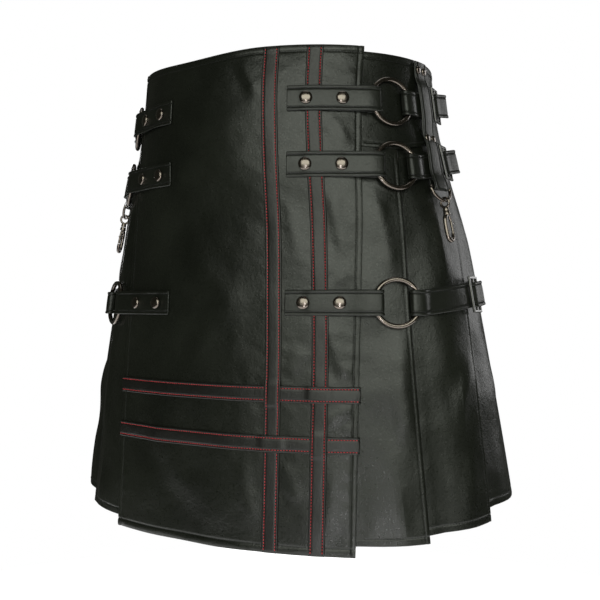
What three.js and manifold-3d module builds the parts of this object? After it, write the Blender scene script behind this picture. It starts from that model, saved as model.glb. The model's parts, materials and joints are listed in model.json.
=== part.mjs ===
// Black leather utility kilt in the hollow shape it has when worn.
// Millimetres, +Z up. The front faces -Y and the wearer's left is +X.
// Z = 0 is the top edge of the front apron, and X = Y = 0 is the middle of the waist.

import * as THREE from 'three';
import { mergeVertices } from 'three/addons/utils/BufferGeometryUtils.js';
import Module from 'manifold-3d';

const wasm = await Module();
wasm.setup();

// Driving dimensions

const apron = { halfWidth: 174, length: 610, thickness: 2, inner: 0.4, dipArc: -55, dip: 5 };
const underApron = { halfWidth: 149.7, top: -6, bottom: -597, inner: -2, thickness: 1.5 };
const yoke = { start: 150, top: -6, frontDepth: 125, sideDepth: 111, inner: -2.2, thickness: 2 };
const pleat = {
  perSide: 6,
  hem: -598,
  thickness: 1.4,
  firstTop: 222,
  firstHem: 261,
  topSpread: 0.95,
  hemSpread: 1.1,
  flare: 1.35,
  foldTop: 40,
  foldHem: 22,
};

// How far the hem of each pleat climbs above the front of the first, at its start and at its fold.
const hemRises = [
  { start: 0, fold: 5 },
  { start: 12, fold: 22 },
  { start: 34, fold: 37 },
  { start: 39, fold: 41 },
  { start: 42, fold: 43 },
  { start: 44, fold: 45 },
];
const backRise = 46;
const seamGap = 0.3;
const seamDrop = 1;

// Heights of the three layers of a knife pleat above the skirt's surface, at the seam and at the hem.
const pleatLayers = {
  outer: { seam: -0.2, hem: 3 },
  middle: { seam: -2.1, hem: -3.5 },
  inner: { seam: -4, hem: -9 },
};

const band = { width: 20, thickness: 1.2, inner: 2.7, step: 1.5, ramp: 9 };
const strap = { width: 31, thickness: 1.5, start: 84, onApron: 3.5, overBand: 4.9, outer: 5.4 };
const ring = { radius: 28, wire: 3, clear: 0.5 };
const rivet = { radius: 8, height: 4.2, arcs: [106, 149] };
const slide = { height: 46, length: 27, bar: 3.4, thickness: 3, clear: 1.3 };

// The skirt's outline: an ellipse at each height, with its own depth in front and behind.
const sections = [
  { z: 0, halfWidth: 206, front: 158, back: 172 },
  { z: -60, halfWidth: 210, front: 166, back: 195 },
  { z: -140, halfWidth: 226, front: 167, back: 218 },
  { z: -220, halfWidth: 248, front: 164, back: 238 },
  { z: -308, halfWidth: 265, front: 168, back: 247 },
  { z: -417, halfWidth: 284, front: 173, back: 252 },
  { z: -610, halfWidth: 313, front: 181, back: 260 },
];

// One row for each level of straps. arc is the way round from the front centre line, rise is how
// much a hip strap climbs for each millimetre towards the back. seat and lift raise the apron strap
// and the hip strap clear of what they lie on.
const strapRows = [
  { name: 'upper', z: -67, ringArc: 212, rise: 0.16, slideArc: 303, seat: 0.6, lift: 0.1, tailLift: 7 },
  { name: 'middle', z: -147, ringArc: 216, rise: 0.22, slideArc: 309, seat: 0.3, lift: 1.1, tailLift: 7 },
  { name: 'lower', z: -313, ringArc: 216, rise: 0.12, slideArc: 334, seat: 0.2, lift: 2.4, tailLift: 1.5 },
];

// Upright bands of the apron lean a little: their way from the centre line at the top and the hem.
const uprightBands = [
  { name: 'band_upright_inner', top: 61, hem: 71, overLevel: 0 },
  { name: 'band_upright_outer', top: 114, hem: 128, overLevel: 1 },
];
const levelBands = [
  { name: 'band_level_upper', z: -422, overUpright: 1 },
  { name: 'band_level_lower', z: -481, overUpright: 0 },
];

const hanger = { width: 26, thickness: 2, arcTop: 264, arcLow: 277, loopZ: -170, loopOut: 11 };
const dRing = { inner: 17.5, depth: 19, wire: 2, lean: 0.4 };
const snap = { lean: 0.2, eyeRadius: 6.1, eyeWire: 1.6, barrel: 4, wire: 2, halfWidth: 6.5, length: 51 };

const leather = new THREE.MeshStandardMaterial({ color: 0x121413, roughness: 0.5, metalness: 0 });
const trimLeather = new THREE.MeshStandardMaterial({ color: 0x17100f, roughness: 0.5, metalness: 0 });
const nickel = new THREE.MeshStandardMaterial({ color: 0xb9bbbd, roughness: 0.25, metalness: 1 });

// The skirt's surface

function smoothValue(z, key) {
  const last = sections.length - 1;
  const level = Math.min(0, Math.max(sections[last].z, z));
  let k = 0;
  while (k < last - 1 && level < sections[k + 1].z) {
    k += 1;
  }
  const slope = (i) => {
    const a = sections[Math.max(0, i - 1)];
    const b = sections[Math.min(last, i + 1)];
    return (b[key] - a[key]) / (b.z - a.z);
  };
  const a = sections[k];
  const b = sections[k + 1];
  const span = b.z - a.z;
  const t = (level - a.z) / span;
  const h = t * t * (3 - 2 * t);
  return a[key] * (1 - h) + b[key] * h
    + span * (slope(k) * t * (1 - t) ** 2 - slope(k + 1) * t * t * (1 - t));
}

// Every panel has a row of points at each of these heights, and is straight between them.
const rowCount = 8;
const rowHeights = spread(0, -apron.length, rowCount);

function sectionValue(z, key) {
  const place = Math.min(rowCount - 0.001, Math.max(0, (-z * rowCount) / apron.length));
  const upper = Math.floor(place);
  const share = place - upper;
  return smoothValue(rowHeights[upper], key) * (1 - share) + smoothValue(rowHeights[upper + 1], key) * share;
}

function heightsBetween(top, bottom) {
  return [top, ...rowHeights.filter((z) => z < top - 3 && z > bottom + 3), bottom];
}

function ellipsePoint(section, angle) {
  const depth = Math.cos(angle) >= 0 ? section.front : section.back;
  return { x: section.halfWidth * Math.sin(angle), y: -depth * Math.cos(angle) };
}

const arcSteps = 240;
const knownLevels = new Map();

// Lengths round the outline from the front centre line, at even steps of angle to the centre back.
function level(z) {
  const name = z.toFixed(2);
  if (!knownLevels.has(name)) {
    const section = {
      halfWidth: sectionValue(z, 'halfWidth'),
      front: sectionValue(z, 'front'),
      back: sectionValue(z, 'back'),
    };
    const lengths = [0];
    let before = ellipsePoint(section, 0);
    for (let i = 1; i <= arcSteps; i += 1) {
      const here = ellipsePoint(section, (Math.PI * i) / arcSteps);
      lengths.push(lengths[i - 1] + Math.hypot(here.x - before.x, here.y - before.y));
      before = here;
    }
    knownLevels.set(name, { section, lengths });
  }
  return knownLevels.get(name);
}

function halfRound(z) {
  return level(z).lengths[arcSteps];
}

function angleAt(z, arc) {
  const { lengths } = level(z);
  const way = Math.min(Math.abs(arc), 2 * lengths[arcSteps] - Math.abs(arc));
  let low = 0;
  let high = arcSteps;
  while (high - low > 1) {
    const middle = (low + high) >> 1;
    if (lengths[middle] > way) {
      high = middle;
    } else {
      low = middle;
    }
  }
  const angle = (Math.PI * (low + (way - lengths[low]) / (lengths[high] - lengths[low]))) / arcSteps;
  const passedBack = Math.abs(arc) > lengths[arcSteps];
  return Math.sign(arc) * (passedBack ? 2 * Math.PI - angle : angle);
}

// The point at a way round (arc), a height (z) and a distance outside the surface (out).
function onSkirt(arc, z, out = 0) {
  const { section } = level(z);
  const angle = angleAt(z, arc);
  const depth = Math.cos(angle) >= 0 ? section.front : section.back;
  const normal = new THREE.Vector2(Math.sin(angle) * depth, -Math.cos(angle) * section.halfWidth);
  normal.normalize().multiplyScalar(out);
  const point = ellipsePoint(section, angle);
  return new THREE.Vector3(point.x + normal.x, point.y + normal.y, z);
}

function outward(arc, z) {
  return onSkirt(arc, z, 1).sub(onSkirt(arc, z, 0));
}

function along(arc, z) {
  return onSkirt(arc + 0.5, z).sub(onSkirt(arc - 0.5, z)).normalize();
}

// The way round and the distance outside the surface of a point in space.
function placeOf(point, guess) {
  let arc = guess;
  for (let i = 0; i < 12; i += 1) {
    arc += point.clone().sub(onSkirt(arc, point.z)).dot(along(arc, point.z));
  }
  return { arc, out: point.clone().sub(onSkirt(arc, point.z)).dot(outward(arc, point.z)) };
}

function smooth(t) {
  const x = Math.min(1, Math.max(0, t));
  return x * x * (3 - 2 * x);
}

function spread(from, to, count) {
  return Array.from({ length: count + 1 }, (_, i) => from + ((to - from) * i) / count);
}

// Solids

function solidFrom(positions, indices) {
  const geometry = new THREE.BufferGeometry();
  geometry.setAttribute('position', new THREE.Float32BufferAttribute(positions, 3));
  geometry.setIndex(indices);
  geometry.computeVertexNormals();
  return geometry;
}

// A wall between two grids of points. Rows run down, columns run to the wearer's left.
function wall(outer, inner) {
  const rows = outer.length;
  const columns = outer[0].length;
  const positions = [...outer.flat(), ...inner.flat()].flatMap((p) => [p.x, p.y, p.z]);
  const indices = [];
  const at = (side, row, column) => (side * rows + row) * columns + column;
  const quad = (a, b, c, d) => indices.push(a, b, c, a, c, d);
  for (let r = 0; r < rows - 1; r += 1) {
    for (let c = 0; c < columns - 1; c += 1) {
      quad(at(0, r, c), at(0, r + 1, c), at(0, r + 1, c + 1), at(0, r, c + 1));
      quad(at(1, r, c), at(1, r, c + 1), at(1, r + 1, c + 1), at(1, r + 1, c));
    }
  }
  const end = columns - 1;
  for (let r = 0; r < rows - 1; r += 1) {
    quad(at(0, r, end), at(0, r + 1, end), at(1, r + 1, end), at(1, r, end));
    quad(at(0, r, 0), at(1, r, 0), at(1, r + 1, 0), at(0, r + 1, 0));
  }
  const low = rows - 1;
  for (let c = 0; c < columns - 1; c += 1) {
    quad(at(0, 0, c), at(0, 0, c + 1), at(1, 0, c + 1), at(1, 0, c));
    quad(at(0, low, c), at(1, low, c), at(1, low, c + 1), at(0, low, c + 1));
  }
  return solidFrom(positions, indices);
}

// A plain panel between its top edge and a level lower edge.
function panel(arcs, topOf, bottom, innerOut, thickness) {
  const rowsAt = (out) => heightsBetween(topOf(0), bottom).map((z, row) => (
    arcs.map((arc) => onSkirt(arc, row === 0 ? topOf(arc) : z, out))
  ));
  return wall(rowsAt(innerOut + thickness), rowsAt(innerOut));
}

// The two faces of a strip that follows a line of [way, out] points.
function stripFaces(line, thickness) {
  const left = [];
  const right = [];
  line.forEach((point, i) => {
    const before = line[Math.max(0, i - 1)];
    const after = line[Math.min(line.length - 1, i + 1)];
    const first = new THREE.Vector2(point[0] - before[0], point[1] - before[1]).normalize();
    const second = new THREE.Vector2(after[0] - point[0], after[1] - point[1]).normalize();
    if (i === 0) {
      first.copy(second);
    }
    if (i === line.length - 1) {
      second.copy(first);
    }
    const normal = new THREE.Vector2(-first.y - second.y, first.x + second.x);
    const size = normal.length();
    normal.multiplyScalar((thickness / 2) * Math.min(2 / size, 1.35) / size);
    left.push([point[0] + normal.x, point[1] + normal.y]);
    right.push([point[0] - normal.x, point[1] - normal.y]);
  });
  return { left, right };
}

// A strip of leather. across runs over its width, place turns way, out and across into a point.
function strip(lineAt, thickness, across, place) {
  const faces = across.map((w) => stripFaces(lineAt(w), thickness));
  const rows = (side) => faces.map((face, r) => face[side].map(([way, out]) => place(way, out, across[r])));
  return wall(rows('left'), rows('right'));
}

// A round wire along points in the XY plane, closed like a ring or with two flat ends.
function roundWire(points, radius, sides, closed) {
  const count = points.length;
  const positions = [];
  const indices = [];
  points.forEach((point, i) => {
    const before = closed ? points[(i + count - 1) % count] : points[Math.max(0, i - 1)];
    const after = closed ? points[(i + 1) % count] : points[Math.min(count - 1, i + 1)];
    const way = new THREE.Vector2(after[0] - before[0], after[1] - before[1]).normalize();
    for (let s = 0; s < sides; s += 1) {
      const angle = (2 * Math.PI * s) / sides;
      const side = radius * Math.cos(angle);
      positions.push(point[0] - way.y * side, point[1] + way.x * side, radius * Math.sin(angle));
    }
  });
  const rings = closed ? count : count - 1;
  for (let i = 0; i < rings; i += 1) {
    for (let s = 0; s < sides; s += 1) {
      const a = i * sides + s;
      const b = i * sides + ((s + 1) % sides);
      const c = ((i + 1) % count) * sides + ((s + 1) % sides);
      const d = ((i + 1) % count) * sides + s;
      indices.push(a, b, c, a, c, d);
    }
  }
  if (!closed) {
    const last = (count - 1) * sides;
    for (let s = 1; s < sides - 1; s += 1) {
      indices.push(0, s + 1, s, last, last + s, last + s + 1);
    }
  }
  const geometry = solidFrom(positions, indices);
  return geometry;
}

function toManifold(geometry) {
  const bare = new THREE.BufferGeometry();
  bare.setAttribute('position', geometry.getAttribute('position').clone());
  if (geometry.index) {
    bare.setIndex(geometry.index.clone());
  }
  const merged = mergeVertices(bare, 1e-4);
  return new wasm.Manifold(new wasm.Mesh({
    numProp: 3,
    vertProperties: new Float32Array(merged.getAttribute('position').array),
    triVerts: new Uint32Array(merged.index.array),
  }));
}

function joined(...geometries) {
  const [first, ...others] = geometries.map(toManifold);
  const mesh = others.reduce((sum, next) => sum.add(next), first).getMesh();
  return solidFrom(Array.from(mesh.vertProperties), Array.from(mesh.triVerts));
}

function cut(geometry, cutters) {
  const mesh = cutters.map(toManifold).reduce((rest, next) => rest.subtract(next), toManifold(geometry)).getMesh();
  return solidFrom(Array.from(mesh.vertProperties), Array.from(mesh.triVerts));
}

const kilt = new THREE.Group();

function addMesh(name, geometry, material, parent = kilt) {
  const mesh = new THREE.Mesh(geometry, material);
  mesh.name = name;
  parent.add(mesh);
  return mesh;
}

// A group whose X, Y and Z run along the given directions.
function groupAt(origin, xAxis, yAxis, parent = kilt) {
  const group = new THREE.Group();
  const zAxis = xAxis.clone().cross(yAxis).normalize();
  const trueY = zAxis.clone().cross(xAxis).normalize();
  group.quaternion.setFromRotationMatrix(new THREE.Matrix4().makeBasis(xAxis, trueY, zAxis));
  group.position.copy(origin);
  parent.add(group);
  return group;
}

// Front apron, under-apron and yoke

const apronOuter = apron.inner + apron.thickness;

function apronTop(arc) {
  return -apron.dip * smooth(1 - Math.abs(arc - apron.dipArc) / 110);
}

function yokeSeam(arc) {
  return -yoke.frontDepth + (yoke.frontDepth - yoke.sideDepth) * smooth((Math.abs(arc) - 215) / 90);
}

addMesh(
  'apron',
  panel(spread(-apron.halfWidth, apron.halfWidth, 18), apronTop, -apron.length, apron.inner, apron.thickness),
  leather,
);
addMesh(
  'under_apron',
  panel(spread(-underApron.halfWidth, underApron.halfWidth, 14), () => underApron.top, underApron.bottom,
    underApron.inner, underApron.thickness),
  leather,
);

// The yoke runs round the back, so its columns count from one front edge to the other.
function yokePoint(t, z, out) {
  return onSkirt(yoke.start + (2 * halfRound(z) - 2 * yoke.start) * t, z, out);
}

function yokeRows(out) {
  return [yoke.top, rowHeights[1], -yoke.frontDepth].map((z, row) => spread(0, 1, 46).map((t) => {
    const round = 2 * halfRound(-yoke.frontDepth);
    const way = yoke.start + (round - 2 * yoke.start) * t;
    const nearer = Math.min(way, round - way);
    return yokePoint(t, row === 2 ? yokeSeam(nearer) : z, out);
  }));
}

addMesh('yoke', wall(yokeRows(yoke.inner + yoke.thickness), yokeRows(yoke.inner)), leather);

// Knife pleats. Each folded edge lies over the next pleat and points to the centre back.

function hang(z) {
  return Math.min(1, Math.max(0, (z + yoke.frontDepth) / (pleat.hem + yoke.frontDepth)));
}

function layerOut(name, z) {
  const { seam, hem } = pleatLayers[name];
  return seam + (hem - seam) * hang(z);
}

function foldArc(number, z) {
  const share = (number - 1) / (pleat.perSide - 0.5);
  const seamZ = -yoke.frontDepth;
  const atSeam = pleat.firstTop + (halfRound(seamZ) - pleat.firstTop) * share ** pleat.topSpread;
  const atHem = pleat.firstHem + (halfRound(pleat.hem) - pleat.firstHem) * share ** pleat.hemSpread;
  const fallen = hang(z) ** pleat.flare;
  const backShift = halfRound(z) - (halfRound(seamZ) * (1 - fallen) + halfRound(pleat.hem) * fallen);
  return atSeam + (atHem - atSeam) * fallen + backShift * share;
}

function foldDepth(z) {
  return pleat.foldTop + (pleat.foldHem - pleat.foldTop) * hang(z);
}

// The line of one pleat round the skirt at a height, from its hidden inner end to the next one's.
function pleatLine(number, z) {
  const outer = layerOut('outer', z);
  const middle = layerOut('middle', z);
  const inner = layerOut('inner', z);
  const fold = foldArc(number, z);
  const depth = foldDepth(z);
  const turn = 4;
  const first = number === 1;
  const start = first ? yoke.start : foldArc(number - 1, z) + 3;
  const startOut = first ? -1.3 : inner;
  const clearOfApron = first ? apron.halfWidth + 16 : start;
  const risen = Math.max(clearOfApron, fold - depth - 6);
  const rise = spread(start, risen, 2).map((arc, i) => (
    [arc, startOut + (outer - startOut) * smooth(i / 2)]
  ));
  if (first) {
    rise[1] = [apron.halfWidth + 2, startOut + 0.2];
  }
  return [
    ...rise,
    [(risen + fold - turn) / 2, outer],
    [fold - turn, outer],
    [fold, (outer + middle) / 2],
    [fold - turn, middle],
    [fold - depth / 2, middle],
    [fold - depth + turn, middle],
    [fold - depth, (middle + inner) / 2],
    [fold - depth + turn, inner],
    [fold - depth + 12, inner],
  ];
}

// How far the hem climbs at each point of a pleat's line.
function pleatRises(number) {
  const { start, fold } = hemRises[number - 1];
  const next = number < pleat.perSide ? hemRises[number].start : backRise;
  return [...spread(start, fold, 5), fold, fold, fold, (fold + next) / 2, next, next];
}

const pleatHeights = heightsBetween(-yoke.frontDepth, pleat.hem);

// One panel of pleats from number to number, on the wearer's left (side 1) or right (side -1).
function pleatPanel(from, to, side) {
  const rowFaces = pleatHeights.map((rowZ, row) => {
    const isHem = row === pleatHeights.length - 1;
    const line = [];
    const heights = [];
    if (from > 1) {
      const z = rowZ + (isHem ? hemRises[from - 1].start : 0);
      line.push([foldArc(from - 1, z) - foldDepth(z) + 12 + seamGap, layerOut('inner', z)]);
      heights.push(z);
    }
    for (let number = from; number <= to; number += 1) {
      pleatRises(number).forEach((rise, i) => {
        const z = rowZ + (isHem ? rise : 0);
        line.push(pleatLine(number, z)[i]);
        heights.push(z);
      });
    }
    const faces = stripFaces(line, pleat.thickness);
    const height = (arc, i) => (row === 0 ? yokeSeam(arc) - seamDrop : heights[i]);
    const point = ([arc, out], i) => onSkirt(side * arc, height(arc, i), out);
    return { left: faces.left.map(point), right: faces.right.map(point) };
  });
  const outer = rowFaces.map((row) => (side > 0 ? row.left : [...row.left].reverse()));
  const inner = rowFaces.map((row) => (side > 0 ? row.right : [...row.right].reverse()));
  return wall(outer, inner);
}

for (const side of [1, -1]) {
  const sideName = side > 0 ? 'left' : 'right';
  for (let from = 1; from < pleat.perSide; from += 2) {
    addMesh(`pleats_${sideName}_${from}_${from + 1}`, pleatPanel(from, from + 1, side), leather);
  }
}

// The centre-back panel lies under the last pleat of each side.
function backPanel() {
  const rows = pleatHeights.map((rowZ, row) => {
    const isHem = row === pleatHeights.length - 1;
    const z = rowZ + (isHem ? backRise : 0);
    const height = row === 0 ? yokeSeam(400) - seamDrop : z;
    const half = halfRound(height);
    const start = foldArc(pleat.perSide, z) - foldDepth(z) + 12 + seamGap;
    const edge = foldArc(pleat.perSide, z) + 3;
    const inner = layerOut('inner', z);
    const middle = layerOut('middle', z);
    const arcs = [start, edge, (edge + half) / 2, half];
    const outs = [inner, inner, (inner + middle) / 2, middle];
    const line = arcs.map((arc, i) => [arc, outs[i]]);
    const mirrored = line.slice(0, -1).reverse().map(([arc, out]) => [2 * half - arc, out]);
    const faces = stripFaces([...line, ...mirrored], pleat.thickness);
    const point = ([arc, out]) => onSkirt(arc, height, out);
    return { left: faces.left.map(point), right: faces.right.map(point) };
  });
  return wall(rows.map((row) => row.left), rows.map((row) => row.right));
}

addMesh('pleat_centre_back', backPanel(), leather);

// Trim bands, woven: each is raised where it crosses over another.

function uprightArc(which, z) {
  return which.top + (which.hem - which.top) * smooth(-z / 420);
}

function raised(distance) {
  return band.step * smooth((band.width / 2 + band.ramp - Math.abs(distance)) / band.ramp);
}

function bandSteps(plain, crossing) {
  const way = Math.sign(plain[plain.length - 1] - plain[0]);
  const near = [-19, -14.5, -10, 10, 14.5, 19].map((d) => crossing + d);
  const steps = [...plain.filter((x) => Math.abs(x - crossing) > 22), ...near];
  return steps.sort((a, b) => way * (a - b));
}

for (const upright of uprightBands) {
  const crossing = levelBands[upright.overLevel].z;
  const heights = bandSteps(heightsBetween(-2, -apron.length + 1), crossing);
  const grid = (depth) => heights.map((z) => spread(-1, 1, 2).map((w) => {
    const arc = uprightArc(upright, z) + (w * band.width) / 2;
    return onSkirt(arc, z, band.inner + depth + raised(z - crossing));
  }));
  addMesh(upright.name, wall(grid(band.thickness), grid(0)), trimLeather);
}

for (const levelBand of levelBands) {
  const crossing = uprightArc(uprightBands[levelBand.overUpright], levelBand.z);
  const edge = apron.halfWidth + 1.2;
  const middle = band.inner + band.thickness / 2;
  const ways = bandSteps(spread(-apron.halfWidth + 1, apron.halfWidth - 1, 22), crossing);
  const flat = ways.map((arc) => [arc, middle + raised(arc - crossing)]);
  const line = [[-edge, 0.9], [-edge, middle - 0.6], ...flat, [edge, middle - 0.6], [edge, 0.9]];
  const across = [levelBand.z + band.width / 2, levelBand.z - band.width / 2];
  addMesh(
    levelBand.name,
    strip(() => line, band.thickness, across, (way, out, z) => onSkirt(way, z, out)),
    trimLeather,
  );
}

// Strap rows: apron strap, O-ring, hip strap, slide and rivets on each side

function rivetGeometry() {
  const profile = [[0, 0], [rivet.radius, 0], [rivet.radius, 1.2]];
  const shoulder = THREE.MathUtils.degToRad(42);
  profile.push([rivet.radius * Math.cos(shoulder), 1.2 + (rivet.height - 1.2) * Math.sin(shoulder)]);
  profile.push([0, rivet.height]);
  const dome = new THREE.LatheGeometry(profile.map(([x, y]) => new THREE.Vector2(x, y)), 11);
  return dome.rotateX(Math.PI / 2);
}

function slideGeometry() {
  const shape = new THREE.Shape();
  const halfLength = slide.length / 2;
  const halfHeight = slide.height / 2;
  const corner = 4;
  shape.moveTo(-halfLength + corner, -halfHeight);
  shape.lineTo(halfLength - corner, -halfHeight);
  shape.lineTo(halfLength, -halfHeight + corner);
  shape.lineTo(halfLength, halfHeight - corner);
  shape.lineTo(halfLength - corner, halfHeight);
  shape.lineTo(-halfLength + corner, halfHeight);
  shape.lineTo(-halfLength, halfHeight - corner);
  shape.lineTo(-halfLength, -halfHeight + corner);
  const plate = new THREE.ExtrudeGeometry(shape, { depth: slide.thickness, bevelEnabled: false });
  plate.translate(0, 0, -slide.thickness / 2);
  const windowLength = (slide.length - 3 * slide.bar) / 2;
  const windows = [-1, 1].map((side) => {
    const box = new THREE.BoxGeometry(windowLength, slide.height - 2 * slide.bar, slide.thickness * 2);
    return box.translate((side * (windowLength + slide.bar)) / 2, 0, 0);
  });
  return cut(plate, windows);
}

// Direction up the skirt's surface at a place, square to the way round.
function upSkirt(arc, z) {
  return onSkirt(arc, z + 6).sub(onSkirt(arc, z - 6)).normalize();
}

// How far a line of equal way round shifts along the skirt for each millimetre that it climbs.
function lean(arc, z) {
  return onSkirt(arc, z + 6).sub(onSkirt(arc, z - 6)).dot(along(arc, z)) / 12;
}

for (const row of strapRows) {
  for (const side of [1, -1]) {
    const sideName = side > 0 ? 'left' : 'right';
    const arcZ = (way) => row.z + row.rise * Math.max(0, way - row.ringArc - ring.radius - 4);
    const ringOut = ring.wire + 1.6 + row.lift;
    const centre = onSkirt(side * row.ringArc, row.z, ringOut);
    const tangent = along(side * row.ringArc, row.z);
    const near = placeOf(centre.clone().addScaledVector(tangent, -side * ring.radius), side * 185);
    const far = placeOf(centre.clone().addScaledVector(tangent, side * ring.radius), side * 242);
    const pocket = ring.wire + ring.clear + strap.thickness / 2;
    const under = pocket + 1.3;
    const onApron = strap.onApron + row.seat;
    const overBand = strap.overBand + row.seat;
    const outerLayer = strap.outer + row.seat;
    const half = strap.width / 2;
    const edgeReach = ring.radius - Math.sqrt(ring.radius ** 2 - (half + 2) ** 2);
    const tip = edgeReach + ring.wire + ring.clear + strap.thickness / 2;

    // The apron strap runs out over the band, turns round the ring and comes back underneath.
    const nearWay = side * near.arc;
    const band2 = uprightArc(uprightBands[1], row.z);
    const apronLine = [
      [strap.start, onApron],
      [(strap.start + band2 - 18) / 2, onApron],
      [band2 - 18, onApron],
      [band2 - 11, overBand],
      [band2, overBand],
      [band2 + 11, overBand],
      [(band2 + 11 + 158) / 2, outerLayer],
      [158, outerLayer],
      [nearWay - 12, Math.max(outerLayer, near.out + pocket - 2)],
      [nearWay - 4, near.out + pocket],
      [nearWay + tip - 3, near.out + pocket],
      [nearWay + tip - 0.8, near.out + pocket * 0.6],
      [nearWay + tip, near.out],
      [nearWay + tip - 0.8, near.out - under * 0.6],
      [nearWay + tip - 3, near.out - under],
      [nearWay - 4, near.out - under],
      [nearWay - 9, Math.max(onApron, near.out - under)],
      [160, onApron],
      [band2 + 18, onApron],
    ];
    const place = (way, out, up) => onSkirt(side * (way - lean(way, row.z) * up), arcZ(way) + up, out);
    const across = side > 0 ? [half, -half] : [-half, half];
    addMesh(
      `strap_apron_${row.name}_${sideName}`,
      strip(() => apronLine, strap.thickness, across, place),
      leather,
    );

    const ringPoints = spread(0, 2 * Math.PI, 20).slice(0, -1).map((angle) => (
      [ring.radius * Math.cos(angle), ring.radius * Math.sin(angle)]
    ));
    const ringGroup = groupAt(centre, tangent, upSkirt(side * row.ringArc, row.z));
    addMesh(`o_ring_${row.name}_${sideName}`, roundWire(ringPoints, ring.wire, 6, true), nickel, ringGroup);

    // The hip strap is sewn down behind the slide, goes round the ring and back over the slide's bar.
    const farWay = side * far.arc;
    const inLayer = 1.4 + row.lift;
    const outLayer = 3.4 + row.lift;
    const slideOut = outLayer + strap.thickness / 2 + slide.clear + slide.thickness / 2;
    const overBar = slideOut + slide.thickness / 2 + 0.4 + strap.thickness / 2;
    const tail = overBar + row.tailLift;
    const hipLine = [
      ...spread(row.slideArc + 30, farWay + 14, 6).map((way) => [way, inLayer]),
      [farWay + 9, inLayer],
      [farWay + 4, Math.min(inLayer, far.out - under)],
      [farWay - tip + 3, far.out - under],
      [farWay - tip + 0.8, far.out - under * 0.6],
      [farWay - tip, far.out],
      [farWay - tip + 0.8, far.out + pocket * 0.6],
      [farWay - tip + 3, far.out + pocket],
      [farWay + 4, far.out + pocket],
      [farWay + 12, outLayer + 1],
      ...spread(farWay + 20, row.slideArc - 9, 4).map((way) => [way, outLayer]),
      [row.slideArc - 3.6, overBar - 1.2],
      [row.slideArc - 2, overBar],
      [row.slideArc + 4, overBar + 0.4],
      [row.slideArc + 12, (overBar + tail) / 2],
      [row.slideArc + 21, tail],
    ];
    addMesh(
      `strap_hip_${row.name}_${sideName}`,
      strip(() => hipLine, strap.thickness, across, place),
      leather,
    );

    const slideZ = arcZ(row.slideArc);
    const slideGroup = groupAt(
      onSkirt(side * row.slideArc, slideZ, slideOut),
      along(side * row.slideArc, slideZ),
      upSkirt(side * row.slideArc, slideZ),
    );
    addMesh(`slide_${row.name}_${sideName}`, slideGeometry(), nickel, slideGroup);

    rivet.arcs.forEach((arc, i) => {
      const seat = (arc < band2 + 11 ? overBand : outerLayer) + strap.thickness / 2 + 0.45;
      const group = groupAt(
        onSkirt(side * arc, row.z, seat),
        along(side * arc, row.z),
        upSkirt(side * arc, row.z),
      );
      addMesh(`rivet_${row.name}_${sideName}_${i + 1}`, rivetGeometry(), nickel, group);
    });
  }
}

// Hanger straps, D-rings and snap hooks

function hangerArc(z) {
  return hanger.arcTop + (hanger.arcLow - hanger.arcTop) * smooth(-z / 120);
}

function hangerLine() {
  const flat = 2.3;
  const overUpper = 7.7;
  const overMiddle = 8.6;
  const { loopZ, loopOut } = hanger;
  const reach = dRing.wire + 0.4 + hanger.thickness / 2;
  const loop = -loopZ;
  const turn = [96, 64, 32, 0, -32, -64, -96].map((degrees) => {
    const t = THREE.MathUtils.degToRad(degrees);
    return [loop + reach * Math.cos(t), loopOut + reach * Math.sin(t)];
  });
  return [
    [8, flat],
    [24, flat],
    [35, flat],
    [42, overUpper],
    [61, overUpper],
    [80, overUpper],
    [89, flat],
    [98, flat],
    [106, flat],
    [114, overMiddle],
    [132, overMiddle],
    [151, overMiddle],
    [loop - 9, loopOut + reach * 0.55],
    ...turn,
    [loop - 9, loopOut - reach - 1],
  ];
}

function dRingPoints() {
  const points = spread(-dRing.inner, dRing.inner, 3).map((x) => [x, 0]);
  for (const degrees of [20, 45, 70, 90, 110, 135, 160]) {
    const t = THREE.MathUtils.degToRad(degrees);
    points.push([(dRing.inner + 2) * Math.cos(t), -dRing.depth * Math.sin(t)]);
  }
  return points;
}

function eyeGeometry() {
  const inner = snap.eyeRadius - snap.eyeWire;
  const middle = -(inner - dRing.wire - 0.4);
  const loop = spread(0, 2 * Math.PI, 14).slice(0, -1).map((angle) => (
    [snap.eyeRadius * Math.cos(angle), snap.eyeRadius * Math.sin(angle)]
  ));
  const loopSolid = roundWire(loop, snap.eyeWire, 6, true);
  loopSolid.rotateY(Math.PI / 2);
  loopSolid.translate(0, middle, 0);
  const barrel = new THREE.CylinderGeometry(snap.barrel, snap.barrel, 5, 10);
  barrel.translate(0, middle - snap.eyeRadius - 2.6, 0);
  return { geometry: joined(loopSolid, barrel), bottom: middle - snap.eyeRadius - 5.1 };
}

function hookPoints(top) {
  const w = snap.halfWidth;
  const low = -snap.length;
  return [
    [0, top - 3],
    [-3, top - 5],
    [-w + 1, top - 8],
    [-w, top - 14],
    [-w, low + 10],
    [-w + 1.4, low + 4.5],
    [-2.4, low + 1],
    [1.4, low + 0.6],
    [w - 1.6, low + 4],
    [w, low + 9],
    [w, low + 12],
  ];
}

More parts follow.
